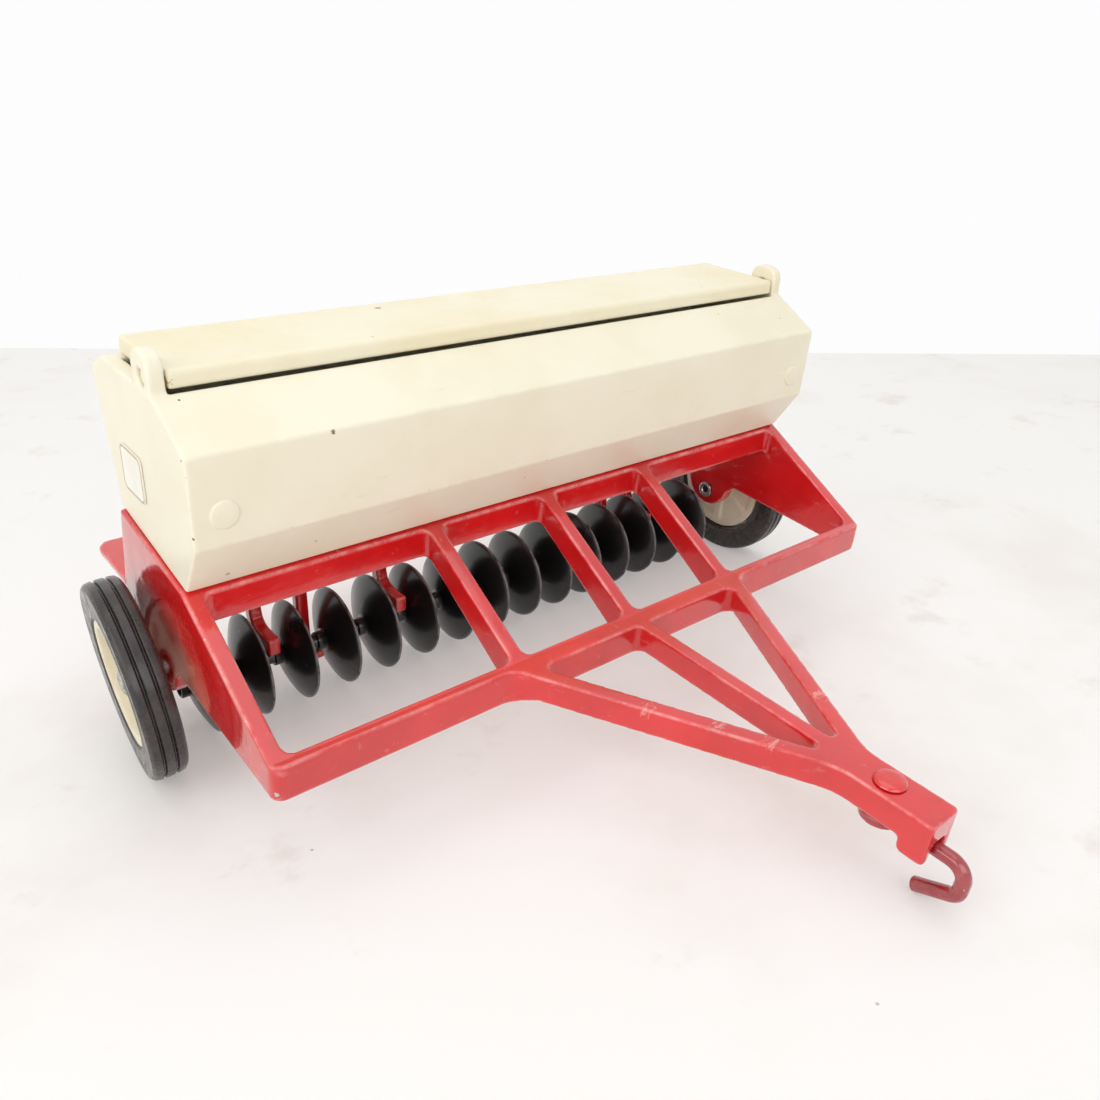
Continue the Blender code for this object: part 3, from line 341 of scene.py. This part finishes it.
def red_enamel(name, deep, light, rubbed, chip_spots=(), pale_patch_spots=()):
    """Thick gloss enamel on zinc: wavy, paler where rubbed, pale pink along the edges with a painted highlight
    there too, chipped to the metal.
    """
    red = Finish(name, {"Specular IOR Level": 0.6, "Coat Roughness": 0.05})
    cloud = red.between(red.grain(38.0, 4.0), 0.36, 0.66)
    # Pale pink along the edges: partly enamel rubbed thin, partly a painted highlight; rubbed sets how strong it
    # is.
    thin_paint_and_edge_highlight = red.wear() * red.between(red.grain(85.0, 7.0, 0.72), 0.38, 0.66)
    chips = (red.wear() * 0.62 + red.grain(620.0, 5.0, 0.62)) > (1.275 - 0.03 * rubbed)
    nicks = red.specks(170.0, 0.012, 0.09)
    bare = chips + nicks * (1.0 - chips)
    if chip_spots:
        bare = bare.maths("MAXIMUM", bare, red.patches(chip_spots))
    tone = red.blend(cloud, deep, light)
    tone = red.blend(thin_paint_and_edge_highlight * (0.62 * rubbed), tone, (0.880, 0.400, 0.360))
    dirt = red.between(red.grain(95.0, 6.0, 0.66), 0.56, 0.74)
    tone = red.blend(dirt * 0.25, tone, (0.330, 0.010, 0.010))
    rubs = red.between(red.grain(330.0, 6.0, 0.72, (1.0, 0.35, 1.0)), 0.60, 0.70)
    tone = red.blend(rubs * (0.22 * rubbed), tone, (0.86, 0.30, 0.27))
    # Pale pink streaked patches round the listed spots on the tongue's top.
    if pale_patch_spots:
        streaks = red.between(red.grain(700.0, 4.0, 0.7, (0.25, 1.0, 0.25)), 0.46, 0.58)
        tone = red.blend(red.patches(pale_patch_spots) * streaks * 0.45, tone, (0.86, 0.48, 0.40))
    tone = red.blend(bare, tone, (0.60, 0.585, 0.56))
    waves = red.bump(red.grain(120.0, 2.0), 0.00026)
    peel = red.bump(red.grain(900.0, 3.0), 0.00005, waves)
    pits = red.bump(1.0 - bare, 0.00012, peel)
    gloss = red.between(red.grain(70.0, 5.0, 0.6), 0.35, 0.75) * 0.12 + 0.11
    red.fill(red.shader, {"Base Color": tone, "Roughness": gloss + bare * 0.20,
                          "Metallic": bare * 0.9, "Normal": pits,
                          "Coat Weight": 0.8 - bare * 0.8})
    return red.material


CORNER_CHIP = spot_on("frame_casting", (0.004, 0.526, 0.389))
# Spots on the tongue's top that get pale pink streaked patches.
TONGUE_PALE_PATCHES = [spot_on("frame_casting", shares)
                  for shares in ((0.563, 0.235, 0.516), (0.421, 0.277, 0.516),
                                 (0.379, 0.355, 0.516), (0.447, 0.211, 0.516))]
RED_ENAMEL = red_enamel("red_enamel", (0.580, 0.007, 0.009), (0.690, 0.012, 0.013), 1.0,
                        [(CORNER_CHIP, 0.0007)], [(place, 0.0024) for place in TONGUE_PALE_PATCHES])

frame_fine = cast_copy("frame_casting", 0.00042, 0.0005, 0.15, "frame", 4)
frame_fine.data.materials.append(RED_ENAMEL)


# ---------------------------------------------------------------- footboard
# Separate cast plank behind the hopper, screwed to the rear rail from below.
# It has the same red enamel as the frame.

board_fine = cast_copy("footboard", 0.0006, 0.0005, 0.22, "frame")
board_fine.data.materials.append(RED_ENAMEL)


# ---------------------------------------------------------------- hopper
# Long cast seed box with sloping lower walls and two ears at the front for the lid.
# Cream enamel, a little duller than the red, with specks in it and small chips on the edges.

def cream_enamel(name, light, deep, chip_spots=(), chip_tone=(0.24, 0.20, 0.16)):
    """Semi-gloss cream enamel with fine peel, faint yellowing, specks and small chips."""
    cream = Finish(name, {"Specular IOR Level": 0.5})
    cloud = cream.between(cream.grain(22.0, 4.0, 0.6), 0.36, 0.68)
    tone = cream.blend(cloud, light, deep)
    rubbed = cream.wear() * cream.between(cream.grain(300.0, 4.0), 0.42, 0.60)
    tone = cream.blend(rubbed * 0.30, tone, (0.93, 0.89, 0.76))
    scuffs = cream.between(cream.grain(150.0, 5.0, 0.7, (0.25, 1.0, 1.0)), 0.63, 0.74)
    tone = cream.blend(scuffs * 0.16, tone, (0.46, 0.37, 0.24))
    specks = cream.specks(230.0, 0.030, 0.10) + cream.specks(90.0, 0.05, 0.075)
    tone = cream.blend(specks * 0.65, tone, (0.24, 0.15, 0.08))
    chips = (cream.wear() * 0.60 + cream.grain(420.0, 5.0, 0.66)) > 1.235
    if chip_spots:
        chips = chips.maths("MAXIMUM", chips, cream.patches(chip_spots))
    tone = cream.blend(chips, tone, chip_tone)
    waves = cream.bump(cream.grain(85.0, 2.0), 0.00022)
    peel = cream.bump(cream.grain(1100.0, 3.0), 0.000035, waves)
    pits = cream.bump(1.0 - chips, 0.0001, peel)
    gloss = cream.between(cream.grain(60.0, 5.0, 0.6), 0.35, 0.70) * 0.14 + 0.30
    cream.fill(cream.shader, {"Base Color": tone, "Roughness": gloss + chips * 0.2,
                              "Normal": pits})
    return cream.material


HOPPER_CHIPS = [(spot_on("hopper", (0.160, 0.0, 0.664)), 0.0006),
                (spot_on("hopper", (0.026, 0.255, 0.815)), 0.0003),
                (spot_on("hopper", (0.0, 0.0, 0.329)), 0.0004),
                (spot_on("hopper", (0.0, 0.024, 0.663)), 0.0003)]
CREAM_ENAMEL = cream_enamel("cream_enamel", (0.845, 0.795, 0.635), (0.805, 0.745, 0.570),
                            HOPPER_CHIPS)

hopper_fine = cast_copy("hopper", 0.0005, 0.00035, 0.14, "frame")
hopper_fine.data.materials.append(CREAM_ENAMEL)


# ---------------------------------------------------------------- lid
# Flat cast lid with a rounded nose, hollow below; its trunnions turn in the hopper's ears.
# Its enamel has yellowed a little more than the hopper's.

LID_CHIPS = [(spot_on("lid", (0.017, 0.05, 0.30)), 0.0016),
             (spot_on("lid", (0.331, 0.831, 1.0)), 0.0010)]
LID_ENAMEL = cream_enamel("lid_enamel", (0.850, 0.790, 0.600), (0.815, 0.725, 0.490),
                          LID_CHIPS, (0.56, 0.36, 0.17))

lid_fine = cast_copy("lid", 0.00045, 0.00035, 0.16, "lid")
lid_fine.data.materials.append(LID_ENAMEL)


# ---------------------------------------------------------------- hopper plugs
# Round plugs pressed into two holes of the front wall and painted over with the hopper.
# Each has a low domed head.

def softened(profile, size):
    """Profile whose corners between two straight runs are rounded off."""
    result = []
    for index, point in enumerate(profile):
        point = Vector(point)
        before = Vector(profile[index - 1]) - point
        after = Vector(profile[(index + 1) % len(profile)]) - point
        if point.x < 1e-6 or before.length < 1e-7 or after.length < 1e-7:
            result.append(tuple(point))
            continue
        cut = min(size, before.length * 0.45, after.length * 0.45)
        start, end = point + before.normalized() * cut, point + after.normalized() * cut
        for share in (0.0, 0.25, 0.5, 0.75, 1.0):
            first, second = start.lerp(point, share), point.lerp(end, share)
            result.append(tuple(first.lerp(second, share)))
    return result


def turned(name, profile, sides, seat):
    """Solid of revolution about the X axis of its seat; profile points are (radius, x)."""
    form = bmesh.new()
    rings = []
    for radius, along in profile:
        if radius < 1e-6:
            rings.append([form.verts.new((along, 0.0, 0.0))])
            continue
        ring = []
        for side in range(sides):
            angle = 2.0 * math.pi * side / sides
            ring.append(form.verts.new((along, radius * math.cos(angle),
                                        radius * math.sin(angle))))
        rings.append(ring)
    for index, ring in enumerate(rings):
        nearby = rings[(index + 1) % len(rings)]
        if len(ring) == 1 and len(nearby) == 1:
            continue
        for side in range(sides):
            after = (side + 1) % sides
            corners = [ring[side % len(ring)], ring[after % len(ring)],
                       nearby[after % len(nearby)], nearby[side % len(nearby)]]
            form.faces.new(list(dict.fromkeys(corners)))
    bmesh.ops.recalc_face_normals(form, faces=form.faces)
    mesh = bpy.data.meshes.new(name)
    form.to_mesh(mesh)
    form.free()
    mesh.polygons.foreach_set("use_smooth", [True] * len(mesh.polygons))
    piece = put(name, mesh)
    piece.matrix_world = seat
    return piece


def finished(piece, node, body, material):
    """Gives a turned piece its finish, its body and the node that it stands for."""
    piece.data.materials.append(material)
    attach(piece, body)
    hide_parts(node)


def middle_of(node):
    """Middle of a node's box."""
    low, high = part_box(node)
    return (low + high) / 2.0


for word in ("left", "right"):
    node = "hopper_plug_" + word
    outwards = STANCE @ Matrix.Rotation(-math.pi / 2.0, 4, "Z")
    (_, face), (low_y, high_y), (low_z, high_z) = spans(points_from(outwards, node))
    radius, dome, depth = (high_y - low_y) / 2.0, 0.00055, 0.0009
    head = [(0.0, 0.0), (radius * 0.55, -0.00006), (radius * 0.9, -0.00022),
            (radius, -dome), (radius, -depth), (0.0, -depth)]
    seat = outwards @ Matrix.Translation((face, (low_y + high_y) / 2.0,
                                          (low_z + high_z) / 2.0))
    finished(turned(node + "_fine", softened(head, 0.0003), 64, seat), node, "frame",
             CREAM_ENAMEL)


# ---------------------------------------------------------------- end label
# Blank off-white sticker with rounded corners and a thin tan border on the hopper's left end.
# Its paper is a little yellowed and the varnish on it is worn.

def label_paper(centre, half_width, half_height):
    """Yellowed paper with a border printed just inside its rounded outline."""
    paper = Finish("label_paper", {"Specular IOR Level": 0.4})
    level = paper.node("ShaderNodeVectorRotate", {"rotation_type": "X_AXIS"},
                       {"Vector": paper.place, "Center": tuple(centre),
                        "Angle": -nose_down()})
    offset = paper.node("ShaderNodeVectorMath", {"operation": "SUBTRACT"},
                        {0: level, 1: tuple(centre)})
    size = paper.node("ShaderNodeVectorMath", {"operation": "ABSOLUTE"}, {0: offset})
    across = paper.node("ShaderNodeSeparateXYZ", {}, {0: size}, "Y")
    up = paper.node("ShaderNodeSeparateXYZ", {}, {0: size}, "Z")
    corner = 0.0022
    past_side = paper.node("ShaderNodeMath", {"operation": "MAXIMUM"},
                           {0: across - (half_width - corner), 1: 0.0})
    past_top = paper.node("ShaderNodeMath", {"operation": "MAXIMUM"},
                          {0: up - (half_height - corner), 1: 0.0})
    inset = corner - (past_side * past_side + past_top * past_top) ** 0.5
    inner_side = 1.0 - paper.between(inset, 0.0007, 0.0009)
    border = paper.between(inset, 0.0001, 0.0002) * inner_side
    stain = paper.between(paper.grain(160.0, 2.0), 0.30, 0.75)
    tone = paper.blend(stain, (0.86, 0.84, 0.77), (0.82, 0.79, 0.70))
    tone = paper.blend(border * 0.85, tone, (0.48, 0.33, 0.17))
    paper.fill(paper.shader, {
        "Base Color": tone,
        "Roughness": paper.between(paper.grain(260.0, 3.0), 0.35, 0.7) * 0.2 + 0.34,
        "Normal": paper.bump(paper.grain(700.0, 3.0), 0.00006)})
    return paper.material


label = frame["nodes"]["end_label"]
_, (front, back), (bottom, top) = spans(points_from(STANCE, "end_label"))
label.data.materials.clear()
label.data.materials.append(label_paper(middle_of("end_label"), (back - front) / 2.0,
                                        (top - bottom) / 2.0))


# ---------------------------------------------------------------- tyres
# Moulded rubber tyres with three flat ribs; they have gone grey, with dust in the grooves.
# Each is stretched over its rim and leans with it on the loose axle rivet.

def axis_seat(joint):
    """Place on a joint's axis whose X axis runs along it."""
    for found in frame["joints"]:
        if found["name"] == joint:
            turn = Vector((1.0, 0.0, 0.0)).rotation_difference(Vector(found["axis"]))
            return Matrix.Translation(found["pos_m"]) @ turn.to_matrix().to_4x4()


def worn_rubber():
    """Greyed black rubber with dust, pale flecks and patches of paler grey on the sidewalls."""
    rubber = Finish("worn_rubber", {"Specular IOR Level": 0.45})
    dust = rubber.between(rubber.grain(130.0, 6.0, 0.65), 0.42, 0.68)
    tone = rubber.blend(dust, (0.030, 0.025, 0.024), (0.050, 0.042, 0.040))
    flecks = rubber.specks(420.0, 0.10, 0.16)
    tone = rubber.blend(flecks * 0.5, tone, (0.22, 0.215, 0.205))
    scrapes = rubber.between(rubber.grain(340.0, 5.0, 0.7), 0.62, 0.72)
    tone = rubber.blend(scrapes * 0.4, tone, (0.008, 0.008, 0.009))
    across = rubber.node("ShaderNodeSeparateXYZ", {}, {0: rubber.place}, "X")
    sidewall = rubber.between(across.maths("ABSOLUTE", across, 0.0), 0.0038, 0.0043)
    # Paler grey in patches on both sidewalls.
    pale_sidewall_patches = sidewall * rubber.between(rubber.grain(650.0, 6.0, 0.7), 0.40, 0.70)
    tone = rubber.blend(pale_sidewall_patches * 0.16, tone, (0.30, 0.295, 0.29))
    lumps = rubber.bump(rubber.grain(170.0, 3.0), 0.00014)
    skin = rubber.bump(rubber.grain(1500.0, 3.0), 0.00004, lumps)
    gloss = rubber.between(rubber.grain(210.0, 5.0, 0.65), 0.35, 0.68) * 0.20 + 0.17
    rubber.fill(rubber.shader, {"Base Color": tone, "Roughness": gloss, "Normal": skin})
    return rubber.material


WORN_RUBBER = worn_rubber()


def tyre_profile(outer, bead, half):
    """Closed outline of the tyre: slightly bulged sidewalls, flat ribs between grooves."""
    groove_depth, groove_half, shoulder = 0.0011, 0.00034, 0.0012
    outline = [(bead, half - 0.0010), (bead + 0.0008, half - 0.0001),
               (bead + 0.0022, half - 0.0004), (outer - 0.0040, half - 0.0002),
               (outer - shoulder, half), (outer - 0.0003, half - shoulder * 0.7)]
    third = half / 3.0
    for centre in (third, -third):
        outline += [(outer, centre + groove_half * 1.7),
                    (outer - groove_depth * 0.3, centre + groove_half),
                    (outer - groove_depth, centre + groove_half * 0.7),
                    (outer - groove_depth, centre - groove_half * 0.7),
                    (outer - groove_depth * 0.3, centre - groove_half),
                    (outer, centre - groove_half * 1.7)]
    outline += [(outer - 0.0003, -half + shoulder * 0.7), (outer - shoulder, -half),
                (outer - 0.0040, -half + 0.0002), (bead + 0.0022, -half + 0.0004),
                (bead + 0.0008, -half + 0.0001), (bead, -half + 0.0010)]
    return outline


for word in ("left", "right"):
    node = "tyre_" + word
    seat = axis_seat(f"wheel_{word}_spin")
    points = points_from(seat, node)
    radii = [math.hypot(point.y, point.z) for point in points]
    half = max(point.x for point in points)
    profile = softened(tyre_profile(max(radii), min(radii), half), 0.0003)
    finished(turned(node + "_fine", profile, 128, seat), node, "wheel_" + word,
             WORN_RUBBER)


# ---------------------------------------------------------------- rims
# Cast rims with a dished web, faint raised spokes and a hub bored loose for the rivet.
# They are sprayed in a cream like the hopper's, but darker and more patchy.

RIM_ENAMEL = cream_enamel("rim_enamel", (0.815, 0.750, 0.580), (0.700, 0.620, 0.450))

for word in ("left", "right"):
    rim_fine = cast_copy("rim_" + word, 0.0004, 0.0003, 0.30, "wheel_" + word)
    rim_fine.data.materials.append(RIM_ENAMEL)


# ---------------------------------------------------------------- axle rivets
# Hollow steel rivets: a low head outside the wheel, and a lip rolled over inside the plate.
# Bare steel, dull with handling.

def dull_steel():
    """Bare steel with brown stains and fine rubbing."""
    steel = Finish("dull_steel", {"Metallic": 1.0})
    stain = steel.between(steel.grain(900.0, 5.0, 0.65), 0.40, 0.66)
    tone = steel.blend(stain, (0.62, 0.61, 0.585), (0.30, 0.27, 0.23))
    rub = steel.bump(steel.grain(2400.0, 4.0), 0.00003)
    steel.fill(steel.shader, {"Base Color": tone, "Roughness": stain * 0.25 + 0.28,
                              "Normal": rub})
    return steel.material


DULL_STEEL = dull_steel()

for word, side in (("left", -1.0), ("right", 1.0)):
    node = "axle_rivet_" + word
    low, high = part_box(node)
    outer = max(abs(low.x), abs(high.x))
    inner = min(abs(low.x), abs(high.x))
    centre = middle_of(node)
    head, head_depth, shank = 0.0042, 0.0012, 0.0023
    lip, bore, bore_depth = 0.0030, 0.0014, 0.0050
    profile = [(0.0, outer), (head * 0.55, outer - 0.0001), (head * 0.92, outer - 0.0007),
               (head, outer - 0.0011), (head * 0.9, outer - head_depth),
               (shank, outer - head_depth), (shank, inner + 0.0010), (lip, inner + 0.0008),
               (lip - 0.0001, inner + 0.0002), (lip - 0.0007, inner),
               (bore + 0.0004, inner + 0.00012), (bore, inner + 0.0007),
               (bore, inner + bore_depth), (0.0, inner + bore_depth)]
    seat = Matrix.Translation((0.0, centre.y, centre.z))
    if side < 0:
        seat = seat @ Matrix.Rotation(math.pi, 4, "Z")
    finished(turned(node + "_fine", softened(profile, 0.00025), 64, seat), node, "frame",
             DULL_STEEL)


# ---------------------------------------------------------------- disc gang
# Fifteen moulded discs, dished to the right, pushed on a round shaft with a hub at the left
# of each. Gloss black, with light scuffs and a pale rim that is partly rubbed and partly a painted highlight.

def gloss_black(radius):
    """Gloss black plastic, scuffed and dusty, and pale along a disc's rim, partly rubbed and partly a painted
    highlight.
    """
    black = Finish("gloss_black", {"Specular IOR Level": 0.5, "Coat Roughness": 0.12,
                                   "Coat Weight": 0.3})
    apart = black.node("ShaderNodeSeparateXYZ", {}, {0: black.place}, "Y")
    above = black.node("ShaderNodeSeparateXYZ", {}, {0: black.place}, "Z")
    reach = (apart * apart + above * above) ** 0.5
    rim = black.between(reach, radius - 0.0005, radius - 0.00015)
    # Pale ring along the rim: partly rubbed plastic, partly a painted highlight on the rim's edge.
    worn_rim_and_highlight = rim * black.between(black.grain(300.0, 4.0), 0.30, 0.60)
    scuffs = black.between(black.grain(420.0, 6.0, 0.68), 0.58, 0.74)
    tone = black.blend(scuffs * 0.6, (0.0075, 0.0068, 0.0065), (0.024, 0.023, 0.022))
    tone = black.blend(worn_rim_and_highlight * 0.7, tone, (0.24, 0.24, 0.24))
    dust = black.specks(500.0, 0.05, 0.14)
    tone = black.blend(dust * 0.5, tone, (0.25, 0.25, 0.24))
    ripple = black.bump(black.grain(90.0, 2.0), 0.00006)
    gloss = black.between(black.grain(60.0, 4.0, 0.6), 0.35, 0.68) * 0.08 + 0.27
    black.fill(black.shader, {"Base Color": tone, "Roughness": gloss + worn_rim_and_highlight * 0.1,
                              "Normal": ripple})
    return black.material


def disc_profile(radius, dish, thickness, hub, hub_end, bore):
    """Crowned disc with a rounded rim; the crown and the hub point along +X."""
    steps = [1.0 - index / 12.0 for index in range(13)]
    crown, hollow = [], []
    for step in steps:
        reach = hub + (radius - hub) * step
        rise = dish * (1.0 - (reach / radius) ** 1.62)
        thick = thickness * (0.5 - 0.30 * step ** 3)
        crown.append((reach, rise + thick))
        hollow.append((reach, rise - thick))
    hub_wall = [(hub, hub_end - 0.0003), (hub - 0.0003, hub_end), (bore, hub_end)]
    return crown + hub_wall + [(bore, dish - thickness / 2.0)] + hollow[::-1]


DISC_RADIUS = (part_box("disc_01")[1].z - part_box("disc_01")[0].z) / 2.0
DISC_DISH = 0.0044
DISC_THICKNESS = 0.0009
DISC_HUB = 0.0029
DISC_BORE = 0.00215
DISC_COUNT = 15
GLOSS_BLACK = gloss_black(DISC_RADIUS)
gang_seat = axis_seat("disc_gang_spin")
disc_mesh = None

for number in range(1, DISC_COUNT + 1):
    node = f"disc_{number:02d}"
    low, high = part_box(node)
    rim_plane = high.x - 0.0002
    turn = Matrix.Rotation(math.radians(90.0 * number), 4, "X")
    seat = Matrix.Translation((rim_plane, gang_seat.translation.y, gang_seat.translation.z))
    seat = seat @ turn @ Matrix.Rotation(math.pi, 4, "Z")
    if disc_mesh is None:
        profile = disc_profile(DISC_RADIUS, DISC_DISH, DISC_THICKNESS, DISC_HUB,
                               rim_plane - low.x, DISC_BORE)
        disc = turned(node + "_fine", profile, 96, seat)
        disc.data.materials.append(GLOSS_BLACK)
        disc_mesh = disc.data
    else:
        disc = put(node + "_fine", disc_mesh)
        disc.matrix_world = seat
    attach(disc, "disc_gang")
    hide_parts(node)

shaft_low, shaft_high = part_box("gang_shaft")
shaft_middle = middle_of("gang_shaft")
half = (shaft_high.x - shaft_low.x) / 2.0
shaft, bevel = 0.0020, 0.0003
rod = [(0.0, half), (shaft - bevel, half), (shaft, half - bevel), (shaft, -half + bevel),
       (shaft - bevel, -half), (0.0, -half)]
finished(turned("gang_shaft_fine", rod, 48, Matrix.Translation(shaft_middle)),
         "gang_shaft", "disc_gang", GLOSS_BLACK)


# ---------------------------------------------------------------- hitch hook and rivet
# A bent steel wire with a flattened eye, held under the tongue by a rivet with a domed head.
# Both went through the red enamel with the frame; the wire is given a darker red, with less pale pink on its
# edges.

HOOK_ENAMEL = red_enamel("hook_enamel", (0.210, 0.008, 0.016), (0.360, 0.010, 0.018),
                         0.25)

hook_fine = cast_copy("hitch_hook", 0.0003, 0.0003, 0.35, "hook")
hook_fine.data.materials.append(HOOK_ENAMEL)

_, (front, back), (rivet_low, rivet_top) = spans(points_from(STANCE, "hitch_rivet"))
rivet_y = (front + back) / 2.0
head, shank, clench = 0.0040, 0.0019, 0.0032
rivet = [(0.0, rivet_top - 0.0003), (head * 0.55, rivet_top - 0.00035),
         (head * 0.85, rivet_top - 0.0006), (head, rivet_top - 0.0012),
         (head * 0.97, rivet_top - 0.0013), (shank, rivet_top - 0.0013),
         (shank, rivet_low + 0.0009), (clench, rivet_low + 0.0009),
         (clench * 0.8, rivet_low + 0.0002), (0.0, rivet_low)]
upright = STANCE @ Matrix.Translation((0.0, rivet_y, 0.0)) @ Matrix.Rotation(
    -math.pi / 2.0, 4, "Y")
finished(turned("hitch_rivet_fine", softened(rivet, 0.0003), 64, upright), "hitch_rivet",
         "frame", RED_ENAMEL)


# ---------------------------------------------------------------- table and backdrop
# Pale table with faint brownish smudges, and a plain white wall behind it.
# Soft studio light from the left, the front and above, and a plain white surround.

def seen_directly(nodes):
    """1 for the camera's own rays and for those of reflections and glass, 0 for the rest."""
    seen = nodes.node("ShaderNodeLightPath", {}, {}, "Is Camera Ray")
    for kind in ("Is Glossy Ray", "Is Transmission Ray"):
        seen = seen.maths("MAXIMUM", seen, nodes.node("ShaderNodeLightPath", {}, {}, kind))
    return seen


def lit_for_camera(finish, tone, share, strength):
    """Lets the camera and reflections see a share of a sheet as bright by itself."""
    lit = Level(finish, finish.shader.outputs[0])
    glow = finish.node("ShaderNodeEmission", {}, {"Color": tone, "Strength": strength})
    mixed = finish.node("ShaderNodeMixShader", {},
                        {0: seen_directly(finish) * share, 1: lit, 2: glow})
    finish.fill(finish.tree.nodes["Material Output"], {"Surface": mixed})
    return finish.material


def pale_table():
    """Off-white table top with faint smudges, brown stains and lint."""
    table = Finish("pale_table", {"Roughness": 0.55, "Specular IOR Level": 0.25})
    smudge = table.between(table.grain(7.0, 6.0, 0.6), 0.50, 0.72)
    tone = table.blend(smudge, (0.915, 0.900, 0.880), (0.860, 0.825, 0.785))
    stain = table.between(table.grain(22.0, 7.0, 0.66), 0.57, 0.72)
    tone = table.blend(stain * 0.30, tone, (0.62, 0.49, 0.38))
    lint = table.specks(60.0, 0.07, 0.032)
    tone = table.blend(lint * 0.55, tone, (0.34, 0.26, 0.21))
    table.fill(table.shader, {"Base Color": tone})
    return lit_for_camera(table, tone, 0.30, 0.99)


def sheet(name, corners, material):
    """Flat four-cornered sheet of the stage."""
    mesh = bpy.data.meshes.new(name)
    mesh.from_pydata(corners, [], [(0, 1, 2, 3)])
    mesh.materials.append(material)
    made = put(name, mesh)


camera = bpy.data.cameras.new("camera")
camera.lens = 31.43
camera.sensor_width = 36.0
camera_object = put("camera", camera)
camera_object.location = (-0.17527, -0.17250, 0.16198)
camera_object.rotation_euler = [math.radians(turn) for turn in (65.91, -0.38, -40.14)]
camera.clip_start = 0.01
bpy.context.scene.camera = camera_object

TABLE_LEVEL = -0.00002
TABLE_REACH = 3.0
WALL_HEIGHT = 2.5
WHITE = (1.0, 1.0, 1.0, 1.0)
WHITE_SEEN = 0.985

heading = math.radians(40.0)
ahead = Vector((math.sin(heading), math.cos(heading), 0.0))
aside = Vector((ahead.y, -ahead.x, 0.0)) * TABLE_REACH
wall_foot = Vector((0.30, 0.39, TABLE_LEVEL))
wall_left, wall_right = wall_foot - aside, wall_foot + aside
table_front = -ahead * TABLE_REACH
sheet("table", [wall_left, wall_right, wall_right + table_front, wall_left + table_front],
      pale_table())
white_wall = Finish("white_wall", {"Base Color": (0.93, 0.93, 0.93, 1.0), "Roughness": 0.8})
lit_for_camera(white_wall, WHITE, 1.0, WHITE_SEEN)
wall_top = Vector((0.0, 0.0, WALL_HEIGHT))
sheet("wall", [wall_left, wall_right, wall_right + wall_top, wall_left + wall_top],
      white_wall.material)


def softbox(name, place, target, width, height, watts):
    """Rectangular studio lamp that faces its target."""
    lamp = bpy.data.lights.new(name, "AREA")
    lamp.shape = "RECTANGLE"
    lamp.size = width
    lamp.size_y = height
    lamp.energy = watts
    holder = put(name, lamp)
    holder.location = place
    holder.rotation_euler = (Vector(target) - Vector(place)).to_track_quat("-Z", "Y").to_euler()


softbox("left_softbox", (-0.75, -0.10, 0.50), (0.0, 0.05, 0.05), 0.7, 0.7, 2.7)
softbox("front_softbox", (-0.25, -0.95, 0.55), (0.0, 0.0, 0.05), 0.9, 0.6, 2.5)
softbox("top_softbox", (0.05, 0.05, 0.95), (0.0, 0.05, 0.0), 0.9, 0.9, 2.0)

world = bpy.data.worlds.new("white surround")
world.use_nodes = True
surround = Nodes(world.node_tree)
soft = world.node_tree.nodes["Background"]
surround.fill(soft, {"Color": WHITE, "Strength": 0.66})
white = surround.node("ShaderNodeBackground", {}, {"Color": WHITE, "Strength": WHITE_SEEN})
choice = surround.node("ShaderNodeMixShader", {},
                       {0: seen_directly(surround), 1: Level(surround, soft.outputs[0]),
                        2: white})
surround.fill(world.node_tree.nodes["World Output"], {"Surface": choice})
bpy.context.scene.world = world
bpy.context.scene.view_settings.view_transform = "Standard"
